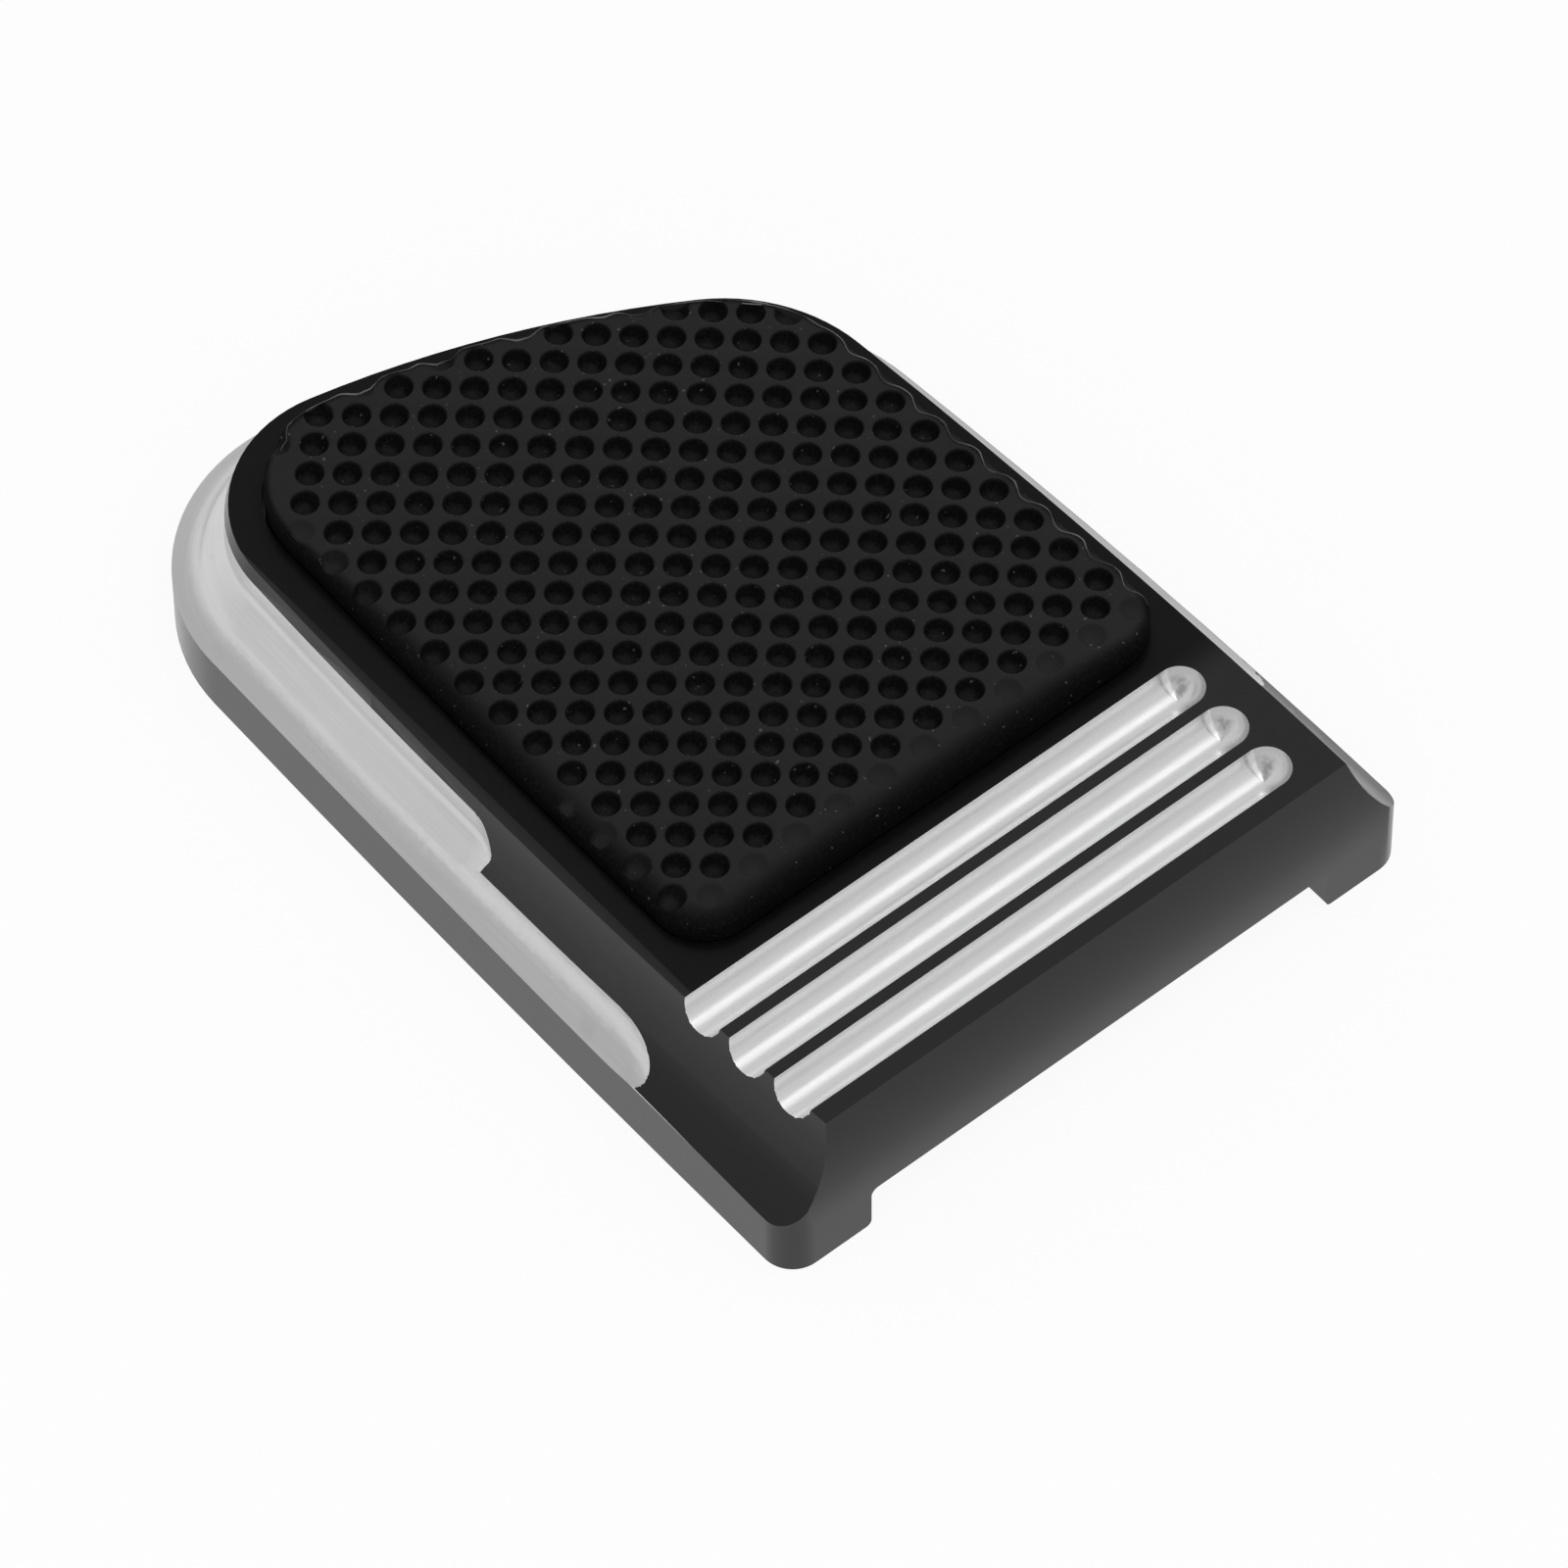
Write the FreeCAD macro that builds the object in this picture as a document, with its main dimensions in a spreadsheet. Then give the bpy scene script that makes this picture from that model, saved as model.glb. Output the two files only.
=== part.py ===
import FreeCAD, Part
import math
import os
import Sketcher

# Brake pedal pad for a large motorbike: a D-shaped billet cover that slips over the
# steel plate of the pedal, with a moulded rubber tread held in its top.
# Millimetres. X runs across the pad, +Y towards the rounded end, +Z up.
# The origin is at the middle of the outer box, on the bottom plane.

SIZES = {
    # outline of the pad seen from above
    "pad_width": 82.0,
    "pad_length": 113.0,
    "pad_thickness": 18.4,
    "front_corner_radius": 3.6,
    "left_side_radius": 2500.0,
    "left_side_widest_y": -30.0,
    "rear_left_radius": 20.8,
    "rear_edge_radius": 128.0,
    "rear_right_radius": 26.3,
    "rear_right_centre_y": 17.2,
    "right_side_radius": 909.0,
    "right_side_widest_y": -51.0,
    # line that the milling cutters follow round the sides, where it leaves the outline
    "cutter_left_radius": 912.0,
    "cutter_left_widest_y": -4.8,
    "cutter_left_overhang": 1.1,
    "cutter_rear_left_radius": 21.7,
    "cutter_rear_left_centre_y": 34.8,
    "section_y": 6.0,
    # hollow cove that runs round the sides and the rounded end
    "wall_height": 7.0,
    "cove_low_inset": 0.0,
    "cove_width": 6.8,
    "cove_radius": 22.0,
    # front face: upright below, then leaning back to the top
    "front_upright": 6.6,
    "front_lean": 2.4,
    # two stepped scallops milled in the cove, one above the other
    "lower_scallop_radius": 5.1,
    "lower_lip_inset": 0.5,
    "lower_lip_height": 7.0,
    "lower_right_overhang": 0.6,
    "ridge_inset": 4.15,
    "ridge_height": 12.1,
    "upper_low_inset": 3.5,
    "upper_low_height": 9.7,
    "upper_foot_inset": 6.25,
    "upper_foot_height": 13.9,
    "upper_foot_radius": 2.0,
    "upper_edge_inset": 6.35,
    "upper_edge_height": 17.2,
    "lower_run_out_radius": 15.0,
    "lower_run_out_length": 13.5,
    "upper_run_out_radius": 1.8,
    "upper_run_out_length": 1.67,
    "lower_left_end_y": -26.8,
    "upper_left_end_y": -1.6,
    "lower_right_end_y": -31.0,
    "upper_right_end_y": -2.6,
    # three round-bottomed grooves across the top
    "groove_radius": 2.62,
    "groove_depth": 2.4,
    "groove_pitch": 6.6,
    "groove_count": 3,
    "first_groove_y": -36.1,
    "groove_end_x": 27.8,
    # recess for the rubber tread
    "tread_rim": 9.7,
    "tread_recess_depth": 2.0,
    "tread_clearance": 0.25,
    "tread_front_y": -31.0,
    "tread_corner_radius": 6.0,
    "tread_rise": 3.6,
    "tread_crown_radius": 520.0,
    "tread_edge_radius": 1.3,
    # moulded plugs that hold the tread
    "plug_radius": 3.0,
    "plug_hole_radius": 3.2,
    "plug_head_radius": 4.6,
    "plug_head_height": 1.6,
    "plug_recess_radius": 5.0,
    "plug_recess_depth": 2.4,
    "plug_spread_x": 20.0,
    "plug_front_y": -22.0,
    "plug_pitch_y": 18.0,
    # channel under the pad that takes the steel plate of the pedal
    "channel_wall": 10.8,
    "channel_depth": 5.7,
    "channel_edge_radius": 0.9,
    "channel_mouth_radius": 0.7,
    # grub screws through the right-hand leg
    "screw_hole_radius": 2.05,
    "screw_radius": 2.0,
    "screw_length": 8.0,
    "screw_height": 3.0,
    "screw_inset": 1.4,
    "screw_key_width": 2.0,
    "screw_key_depth": 2.4,
    "screw_point_length": 0.7,
    "screw_setback": 18.5,
    "screw_pitch_y": 24.0,
    "screw_count": 3,
    "plug_rows": 3,
    # how far cutting tools stand clear of the pad
    "clear_margin": 5.0,
}

# edges closer to a level than this lie on it
TOLERANCE = 0.01

DERIVED = {
    "front_y": "=-pad_length / 2",
    "left_centre_x": "=left_side_radius - pad_width / 2",
    "right_centre_x": "=pad_width / 2 - right_side_radius",
    "cutter_left_centre_x": "=cutter_left_radius - pad_width / 2 - cutter_left_overhang",
    "section_x": "=cutter_left_centre_x - sqrt(cutter_left_radius^2 - (section_y - cutter_left_widest_y)^2)",
    "rear_left_centre_y": "=pad_length / 2 - rear_left_radius",
    "lower_rear_right_radius": "=rear_right_radius + lower_right_overhang",
    "lower_right_radius": "=right_side_radius + lower_right_overhang",
    "run_out_y": "=-pad_length / 2 - clear_margin",
    "screw_front_y": "=front_y + screw_setback",
    "tread_offset": "=tread_rim + tread_clearance",
    "tread_base_z": "=pad_thickness - tread_recess_depth",
    "tread_top_z": "=pad_thickness + tread_rise",
    "tread_edge_y": "=tread_front_y + tread_clearance",
    "tread_edge_corner": "=tread_corner_radius - tread_clearance",
    "cutter_edge_top": "=pad_thickness + clear_margin",
    "front_lean_radius": "=((pad_thickness - front_upright)^2 + front_lean^2) / (2 * front_lean)",
    "groove_centre_z": "=pad_thickness - groove_depth + groove_radius",
}


def cell(name):
    return float(sheet.get(name))


def ref(text):
    words = sorted(list(SIZES) + list(DERIVED), key=len, reverse=True)
    out = ""
    i = 0
    while i < len(text):
        hit = next((w for w in words if text.startswith(w, i)), None)
        if hit:
            out += "Sizes." + hit
            i += len(hit)
        else:
            out += text[i]
            i += 1
    return out


doc = FreeCAD.newDocument("BrakePedalPad")
sheet = doc.addObject("Spreadsheet::Sheet", "Sizes")
row = 1
for name, value in SIZES.items():
    sheet.set("A%d" % row, name)
    sheet.set("B%d" % row, str(value))
    sheet.setAlias("B%d" % row, name)
    row += 1
for name, formula in DERIVED.items():
    sheet.set("A%d" % row, name)
    sheet.set("B%d" % row, formula)
    sheet.setAlias("B%d" % row, name)
    row += 1
doc.recompute()


def originPlane(body, role):
    return next(f for f in body.Origin.OriginFeatures if f.Role == role)


def newSketch(body, name, role="XY_Plane", lift=None):
    sketch = body.newObject("Sketcher::SketchObject", name)
    sketch.AttachmentSupport = (originPlane(body, role), "")
    sketch.MapMode = "FlatFace"
    if lift is not None:
        sketch.setExpression("AttachmentOffset.Base.z", ref(lift))
    return sketch


def hold(sketch, kind, args, formula):
    """Add one driving dimension and bind it to the sheet."""
    index = sketch.addConstraint(Sketcher.Constraint(kind, *args))
    sketch.setExpression("Constraints[%d]" % index, ref(formula))


def holdPoint(sketch, geo, pos, xFormula, yFormula):
    point = sketch.getPoint(geo, pos)
    hold(sketch, "DistanceX", (-1, 1, geo, pos, point.x), xFormula)
    hold(sketch, "DistanceY", (-1, 1, geo, pos, point.y), yFormula)


def arcBetween(centre, radius, start, end):
    """Arc that runs counter-clockwise from start to end."""
    a = math.atan2(start[1] - centre[1], start[0] - centre[0])
    b = math.atan2(end[1] - centre[1], end[0] - centre[0])
    circle = Part.Circle(FreeCAD.Vector(centre[0], centre[1], 0), FreeCAD.Vector(0, 0, 1), radius)
    return Part.ArcOfCircle(circle, a, b)


def toward(a, b, distance):
    """Point at a distance from a in the direction of b."""
    length = math.hypot(b[0] - a[0], b[1] - a[1])
    return (a[0] + (b[0] - a[0]) * distance / length, a[1] + (b[1] - a[1]) * distance / length)


# names of the sheet that hold a line: five radii from left to right, then the places of its centres
PAD_LINE = {
    "radii": ("left_side_radius", "rear_left_radius", "rear_edge_radius", "rear_right_radius",
              "right_side_radius"),
    "left": ("left_centre_x", "left_side_widest_y"),
    "rear_left_y": "rear_left_centre_y",
}
CUTTER_LINE = {
    "radii": ("cutter_left_radius", "cutter_rear_left_radius", "rear_edge_radius", "rear_right_radius",
              "right_side_radius"),
    "left": ("cutter_left_centre_x", "cutter_left_widest_y"),
    "rear_left_y": "cutter_rear_left_centre_y",
}
# the lower scallop runs out through the right-hand wall, so its line lies further out there
LOWER_LINE = {
    "radii": ("cutter_left_radius", "cutter_rear_left_radius", "rear_edge_radius",
              "lower_rear_right_radius", "lower_right_radius"),
    "left": ("cutter_left_centre_x", "cutter_left_widest_y"),
    "rear_left_y": "cutter_rear_left_centre_y",
}


def lineCentres(line):
    """Centres of the five arcs of a line: left, rear left, rear, rear right, right."""
    left = (cell(line["left"][0]), cell(line["left"][1]))
    right = (cell("right_centre_x"), cell("right_side_widest_y"))
    y1 = cell(line["rear_left_y"])
    gap1 = cell(line["radii"][0]) - cell(line["radii"][1])
    c1 = (left[0] - math.sqrt(gap1 ** 2 - (y1 - left[1]) ** 2), y1)
    y3 = cell("rear_right_centre_y")
    gap3 = cell(line["radii"][4]) - cell(line["radii"][3])
    c3 = (right[0] + math.sqrt(gap3 ** 2 - (y3 - right[1]) ** 2), y3)
    d1 = cell("rear_edge_radius") - cell(line["radii"][1])
    d3 = cell("rear_edge_radius") - cell(line["radii"][3])
    span = math.hypot(c3[0] - c1[0], c3[1] - c1[1])
    along = (d1 ** 2 - d3 ** 2 + span ** 2) / (2 * span)
    drop = math.sqrt(d1 ** 2 - along ** 2)
    ux, uy = (c3[0] - c1[0]) / span, (c3[1] - c1[1]) / span
    c2 = (c1[0] + ux * along + uy * drop, c1[1] + uy * along - ux * drop)
    return left, c1, c2, c3, right


def sideX(centre, radius, y, sign):
    return centre[0] + sign * math.sqrt(radius ** 2 - (y - centre[1]) ** 2)


def lineArcs(sketch, line, offset, startY, endY):
    """Five tangent arcs, inset from a line by the named offset, clockwise from the left."""
    inset = cell(offset) if offset else 0.0
    minus = " - " + offset if offset else ""
    left, c1, c2, c3, right = lineCentres(line)
    radii = [cell(n) - inset for n in line["radii"]]
    start = (sideX(left, radii[0], startY, -1), startY)
    end = (sideX(right, radii[4], endY, 1), endY)
    joints = [
        start,
        toward(left, c1, radii[0]),
        toward(c2, c1, radii[2]),
        toward(c2, c3, radii[2]),
        toward(right, c3, radii[4]),
        end,
    ]
    first = sketch.GeometryCount
    for i, centre in enumerate((left, c1, c2, c3, right)):
        sketch.addGeometry(arcBetween(centre, radii[i], joints[i + 1], joints[i]), False)
    for i in range(4):
        sketch.addConstraint(Sketcher.Constraint("Tangent", first + i, 1, first + i + 1, 2))
    for i, name in enumerate(line["radii"]):
        hold(sketch, "Radius", (first + i, radii[i]), name + minus)
    holdPoint(sketch, first, 3, line["left"][0], line["left"][1])
    holdPoint(sketch, first + 4, 3, "right_centre_x", "right_side_widest_y")
    hold(sketch, "DistanceY", (-1, 1, first + 1, 3, c1[1]), line["rear_left_y"])
    hold(sketch, "DistanceY", (-1, 1, first + 3, 3, c3[1]), "rear_right_centre_y")
    return first


def closedOutline(sketch, offset, frontY, corner):
    """Outline closed by a straight front edge with a rounded corner at each end."""
    inset = cell(offset) if offset else 0.0
    left, c1, c2, c3, right = lineCentres(PAD_LINE)
    r = cell(corner)
    y = cell(frontY)
    leftR = cell("left_side_radius") - inset
    rightR = cell("right_side_radius") - inset
    cornerLeft = (sideX(left, leftR - r, y + r, -1), y + r)
    cornerRight = (sideX(right, rightR - r, y + r, 1), y + r)
    touchLeft = toward(left, cornerLeft, leftR)
    touchRight = toward(right, cornerRight, rightR)
    first = lineArcs(sketch, PAD_LINE, offset, touchLeft[1], touchRight[1])
    footLeft = (cornerLeft[0], y)
    footRight = (cornerRight[0], y)
    a = sketch.addGeometry(arcBetween(cornerLeft, r, touchLeft, footLeft), False)
    b = sketch.addGeometry(Part.LineSegment(FreeCAD.Vector(footLeft[0], y, 0),
                                            FreeCAD.Vector(footRight[0], y, 0)), False)
    c = sketch.addGeometry(arcBetween(cornerRight, r, footRight, touchRight), False)
    sketch.addConstraint(Sketcher.Constraint("Tangent", first, 2, a, 1))
    sketch.addConstraint(Sketcher.Constraint("Tangent", a, 2, b, 1))
    sketch.addConstraint(Sketcher.Constraint("Tangent", b, 2, c, 1))
    sketch.addConstraint(Sketcher.Constraint("Tangent", c, 2, first + 4, 1))
    sketch.addConstraint(Sketcher.Constraint("Horizontal", b))
    hold(sketch, "Radius", (a, r), corner)
    hold(sketch, "Radius", (c, r), corner)
    hold(sketch, "DistanceY", (-1, 1, b, 1, y), frontY)


def cutterPath(body, name, line, leftEnd, rightEnd, runOut=None):
    """The cutters' line round the sides, open at the front. With a run-out, given by the names of its
    radius and length, the cutter swings clear of the pad at each end on an arc."""
    sketch = newSketch(body, name)
    centres = lineCentres(line)
    leftY, rightY = cell(leftEnd), cell(rightEnd)
    start = (sideX(centres[0], cell("cutter_left_radius"), leftY, -1), leftY)
    end = (sideX(centres[4], cell(line["radii"][4]), rightY, 1), rightY)
    if runOut:
        leftArc = sketch.addGeometry(runOutArc(centres[0], start, runOut, -1), False)
    first = lineArcs(sketch, line, None, leftY, rightY)
    hold(sketch, "DistanceY", (-1, 1, first, 2, leftY), leftEnd)
    hold(sketch, "DistanceY", (-1, 1, first + 4, 1, rightY), rightEnd)
    if runOut:
        rightArc = sketch.addGeometry(runOutArc(centres[4], end, runOut, 1), False)
        sketch.addConstraint(Sketcher.Constraint("Tangent", first, 2, leftArc, 2))
        sketch.addConstraint(Sketcher.Constraint("Tangent", first + 4, 1, rightArc, 1))
        for arc, far, y in ((leftArc, 1, leftEnd), (rightArc, 2, rightEnd)):
            hold(sketch, "Radius", (arc, cell(runOut[0])), runOut[0])
            hold(sketch, "DistanceY", (-1, 1, arc, far, cell(y) - cell(runOut[1])), y + " - " + runOut[1])
    return sketch


def runOutArc(centre, point, runOut, side):
    """Arc that leaves a line of the given centre at a point and swings outwards, towards the front."""
    r = cell(runOut[0])
    away = toward(point, centre, -r)
    turn = math.asin(cell(runOut[1]) / r)
    a = math.atan2(point[1] - away[1], point[0] - away[0])
    b = a + side * turn
    circle = Part.Circle(FreeCAD.Vector(away[0], away[1], 0), FreeCAD.Vector(0, 0, 1), r)
    return Part.ArcOfCircle(circle, min(a, b), max(a, b))


def cutterProfile(body, name, low, foot, high, radius):
    """Section of a cutter, drawn on its line along the left side, from points that are each an inset
    and a height. The floor runs from a low point to a foot and the wall from the foot to a high
    point, with a round between them. With no foot it is one arc from the low to the high point, and
    the cutter reaches out past the pad's edge."""
    sketch = newSketch(body, name, "XZ_Plane", "-section_y")
    edge = cell("section_x")
    r = cell(radius)
    top = cell("cutter_edge_top")
    lowPoint = (edge + cell(low[0]), cell(low[1]))
    highPoint = (edge + cell(high[0]), cell(high[1]))
    if foot:
        footPoint = (edge + cell(foot[0]), cell(foot[1]))
        roundLow, roundHigh, centre = roundedCorner(lowPoint, footPoint, highPoint, r)
        corners = [roundHigh, highPoint, (highPoint[0], top), (lowPoint[0], top), lowPoint, roundLow]
        kinds = (None, "Vertical", "Horizontal", "Vertical", None)
    else:
        roundLow, roundHigh = lowPoint, highPoint
        centre = arcCentre(lowPoint, highPoint, r)
        backX = edge - cell("clear_margin")
        corners = [highPoint, (highPoint[0], top), (backX, top), (backX, lowPoint[1]), lowPoint]
        kinds = ("Vertical", "Horizontal", "Vertical", "Horizontal")
    arc = sketch.addGeometry(arcBetween(centre, r, roundLow, roundHigh), False)
    lines = closeWithLines(sketch, corners, arc, 2, 1, "Tangent" if foot else "Coincident")
    for line, kind in zip(lines, kinds):
        if kind:
            sketch.addConstraint(Sketcher.Constraint(kind, line))
    hold(sketch, "Radius", (arc, r), radius)
    holdPoint(sketch, lines[3], 2, "section_x + " + low[0], low[1])
    if foot:
        holdPoint(sketch, lines[1], 1, "section_x + " + high[0], high[1])
        hold(sketch, "DistanceY", (-1, 1, lines[1], 2, top), "cutter_edge_top")
        mark = sketch.addGeometry(Part.Point(FreeCAD.Vector(footPoint[0], footPoint[1], 0)), True)
        sketch.addConstraint(Sketcher.Constraint("PointOnObject", mark, 1, lines[0]))
        sketch.addConstraint(Sketcher.Constraint("PointOnObject", mark, 1, lines[-1]))
        holdPoint(sketch, mark, 1, "section_x + " + foot[0], foot[1])
    else:
        holdPoint(sketch, lines[0], 1, "section_x + " + high[0], high[1])
        holdPoint(sketch, lines[1], 2, "section_x - clear_margin", "cutter_edge_top")
    return sketch


def arcCentre(low, high, r):
    """Centre of the arc through two points of the left side, outside the pad."""
    chord = math.hypot(high[0] - low[0], high[1] - low[1])
    rise = math.sqrt(r * r - chord * chord / 4)
    nx = -(high[1] - low[1]) / chord
    nz = (high[0] - low[0]) / chord
    return ((low[0] + high[0]) / 2 + nx * rise, (low[1] + high[1]) / 2 + nz * rise)


def roundedCorner(a, corner, b, r):
    """Ends and centre of the round of radius r between the lines from a and to b."""
    ua = toward(corner, a, 1.0)
    ub = toward(corner, b, 1.0)
    da = (ua[0] - corner[0], ua[1] - corner[1])
    db = (ub[0] - corner[0], ub[1] - corner[1])
    half = math.acos(da[0] * db[0] + da[1] * db[1]) / 2
    start = toward(corner, a, r / math.tan(half))
    end = toward(corner, b, r / math.tan(half))
    middle = (corner[0] + da[0] + db[0], corner[1] + da[1] + db[1])
    return start, end, toward(corner, middle, r / math.sin(half))


def cutAlong(body, name, profile, path):
    pipe = body.newObject("PartDesign::SubtractivePipe", name)
    pipe.Profile = profile
    pipe.Spine = (path, ["Edge%d" % (i + 1) for i in range(len(path.Shape.Edges))])
    pipe.Mode = "Standard"
    doc.recompute()
    return pipe


def cutRound(body, name, profile):
    groove = body.newObject("PartDesign::Groove", name)
    groove.Profile = profile
    groove.ReferenceAxis = (profile, ["Axis0"])
    groove.Angle = 360
    doc.recompute()
    return groove


def closeWithLines(sketch, points, arc, firstEnd, lastEnd, join="Coincident"):
    """Chain of straight lines that closes an arc; firstEnd and lastEnd are the arc's ends."""
    lines = []
    for p, q in zip(points[:-1], points[1:]):
        lines.append(sketch.addGeometry(Part.LineSegment(FreeCAD.Vector(p[0], p[1], 0),
                                                         FreeCAD.Vector(q[0], q[1], 0)), False))
    sketch.addConstraint(Sketcher.Constraint(join, arc, firstEnd, lines[0], 1))
    for p, q in zip(lines[:-1], lines[1:]):
        sketch.addConstraint(Sketcher.Constraint("Coincident", p, 2, q, 1))
    sketch.addConstraint(Sketcher.Constraint(join, lines[-1], 2, arc, lastEnd))
    return lines


def addCircle(sketch, x, y, radius, construction=False):
    circle = Part.Circle(FreeCAD.Vector(x, y, 0), FreeCAD.Vector(0, 0, 1), radius)
    return sketch.addGeometry(circle, construction)


def twinCircles(body, name, lift, radius):
    """Two equal circles, left and right, at the front row of the plugs."""
    sketch = newSketch(body, name, "XY_Plane", lift)
    for sign, text in ((-1, "-plug_spread_x"), (1, "plug_spread_x")):
        circle = addCircle(sketch, sign * cell("plug_spread_x"), cell("plug_front_y"), cell(radius))
        hold(sketch, "Radius", (circle, cell(radius)), radius)
        holdPoint(sketch, circle, 3, text, "plug_front_y")
    return sketch


def hexagon(sketch, width):
    """Hexagon about the origin with the named distance across its flats."""
    r = cell(width) / math.sqrt(3)
    ring = addCircle(sketch, 0, 0, r, True)
    corners = [FreeCAD.Vector(r * math.cos(math.pi / 3 * i), r * math.sin(math.pi / 3 * i), 0) for i in range(6)]
    sides = [sketch.addGeometry(Part.LineSegment(corners[i], corners[(i + 1) % 6]), False) for i in range(6)]
    sketch.addConstraint(Sketcher.Constraint("Coincident", ring, 3, -1, 1))
    for i in range(6):
        sketch.addConstraint(Sketcher.Constraint("Coincident", sides[i], 2, sides[(i + 1) % 6], 1))
        sketch.addConstraint(Sketcher.Constraint("PointOnObject", sides[i], 1, ring))
    for i in range(5):
        sketch.addConstraint(Sketcher.Constraint("Equal", sides[i], sides[i + 1]))
    sketch.addConstraint(Sketcher.Constraint("Horizontal", sides[1]))
    hold(sketch, "Radius", (ring, r), width + " / sqrt(3)")


def repeatAlongY(body, name, features, pitch, count, backwards):
    pattern = body.newObject("PartDesign::LinearPattern", name)
    pattern.Originals = features
    pattern.Direction = (originPlane(body, "Y_Axis"), [""])
    pattern.Reversed = backwards
    pattern.Mode = "Extent"
    pattern.setExpression("Length", ref(pitch + " * (" + count + " - 1)"))
    pattern.setExpression("Occurrences", ref(count))
    body.Tip = pattern
    doc.recompute()
    return pattern


# billet body
body = doc.addObject("PartDesign::Body", "PadBody")
body.Label = "pad_body"

outline = newSketch(body, "Outline")
closedOutline(outline, None, "front_y", "front_corner_radius")
block = body.newObject("PartDesign::Pad", "Block")
block.Profile = outline
block.setExpression("Length", ref("pad_thickness"))
doc.recompute()
print("block", body.Shape.Volume, body.Shape.BoundBox)

# hollow cove round both sides and the rounded end, open at the front
covePath = cutterPath(body, "CovePath", CUTTER_LINE, "run_out_y", "run_out_y")
coveProfile = cutterProfile(body, "CoveProfile", ("cove_low_inset", "wall_height"), None,
                            ("cove_width", "pad_thickness"), "cove_radius")
doc.recompute()
cutAlong(body, "Cove", coveProfile, covePath)
print("cove", body.Shape.Volume, body.Shape.isValid())

# the front face stands upright and then leans back in one large arc
lean = newSketch(body, "FrontLean", "YZ_Plane")
leanRadius = cell("front_lean_radius")
yF = cell("front_y")
zF = cell("front_upright")
zT = cell("pad_thickness")
zUp = cell("cutter_edge_top")
yTop = yF + cell("front_lean")
yOut = yF - cell("clear_margin")
leanArc = lean.addGeometry(arcBetween((yF + leanRadius, zF), leanRadius, (yTop, zT), (yF, zF)), False)
leanLines = closeWithLines(lean, [(yF, zF), (yOut, zF), (yOut, zUp), (yTop, zUp), (yTop, zT)], leanArc, 2, 1)
for i, kind in enumerate(("Horizontal", "Vertical", "Horizontal", "Vertical")):
    lean.addConstraint(Sketcher.Constraint(kind, leanLines[i]))
hold(lean, "Radius", (leanArc, leanRadius), "front_lean_radius")
holdPoint(lean, leanArc, 3, "front_y + front_lean_radius", "front_upright")
hold(lean, "DistanceY", (-1, 1, leanArc, 1, zT), "pad_thickness")
holdPoint(lean, leanLines[1], 2, "front_y - clear_margin", "cutter_edge_top")
face = body.newObject("PartDesign::Pocket", "FrontFace")
face.Profile = lean
face.Type = "ThroughAll"
face.SideType = "Symmetric"
doc.recompute()
print("front", body.Shape.Volume, body.Shape.isValid())

# lower scallop: longest, just above the upright wall
lowerPath = cutterPath(body, "LowerPath", LOWER_LINE, "lower_left_end_y", "lower_right_end_y",
                       ("lower_run_out_radius", "lower_run_out_length"))
lowerProfile = cutterProfile(body, "LowerProfile", ("lower_lip_inset", "lower_lip_height"), None,
                             ("ridge_inset", "ridge_height"), "lower_scallop_radius")
doc.recompute()
cutAlong(body, "LowerScallop", lowerProfile, lowerPath)
print("lower", body.Shape.Volume, body.Shape.isValid())

# upper scallop: shorter, cut down into the lower one, so that a blunt ridge stays between them
upperPath = cutterPath(body, "UpperPath", CUTTER_LINE, "upper_left_end_y", "upper_right_end_y",
                       ("upper_run_out_radius", "upper_run_out_length"))
upperProfile = cutterProfile(body, "UpperProfile", ("upper_low_inset", "upper_low_height"),
                             ("upper_foot_inset", "upper_foot_height"),
                             ("upper_edge_inset", "upper_edge_height"), "upper_foot_radius")
doc.recompute()
cutAlong(body, "UpperScallop", upperProfile, upperPath)
print("upper", body.Shape.Volume, body.Shape.isValid())

# three round-bottomed grooves: open into the cove on the left, ball-ended on the right
grooveBore = newSketch(body, "GrooveSection", "YZ_Plane", "groove_end_x")
boreCircle = addCircle(grooveBore, cell("first_groove_y"), cell("groove_centre_z"), cell("groove_radius"))
hold(grooveBore, "Radius", (boreCircle, cell("groove_radius")), "groove_radius")
holdPoint(grooveBore, boreCircle, 3, "first_groove_y", "groove_centre_z")
grooveCut = body.newObject("PartDesign::Pocket", "GrooveCut")
grooveCut.Profile = grooveBore
grooveCut.Type = "ThroughAll"
doc.recompute()
ballEnd = newSketch(body, "GrooveBallEnd", "XZ_Plane", "-first_groove_y")
ballX = cell("groove_end_x")
ballZ = cell("groove_centre_z")
ballR = cell("groove_radius")
ballArc = ballEnd.addGeometry(arcBetween((ballX, ballZ), ballR, (ballX, ballZ - ballR),
                                         (ballX, ballZ + ballR)), False)
ballLine = ballEnd.addGeometry(Part.LineSegment(FreeCAD.Vector(ballX, ballZ + ballR, 0),
                                                FreeCAD.Vector(ballX, ballZ - ballR, 0)), False)
ballEnd.addConstraint(Sketcher.Constraint("Coincident", ballArc, 2, ballLine, 1))
ballEnd.addConstraint(Sketcher.Constraint("Coincident", ballLine, 2, ballArc, 1))
ballEnd.addConstraint(Sketcher.Constraint("PointOnObject", ballArc, 3, ballLine))
ballEnd.addConstraint(Sketcher.Constraint("Vertical", ballLine))
hold(ballEnd, "Radius", (ballArc, ballR), "groove_radius")
holdPoint(ballEnd, ballArc, 3, "groove_end_x", "groove_centre_z")
axisTop = cell("clear_margin")
ballAxis = ballEnd.addGeometry(Part.LineSegment(FreeCAD.Vector(ballX, 0, 0),
                                                FreeCAD.Vector(ballX, axisTop, 0)), True)
ballEnd.addConstraint(Sketcher.Constraint("Vertical", ballAxis))
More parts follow.
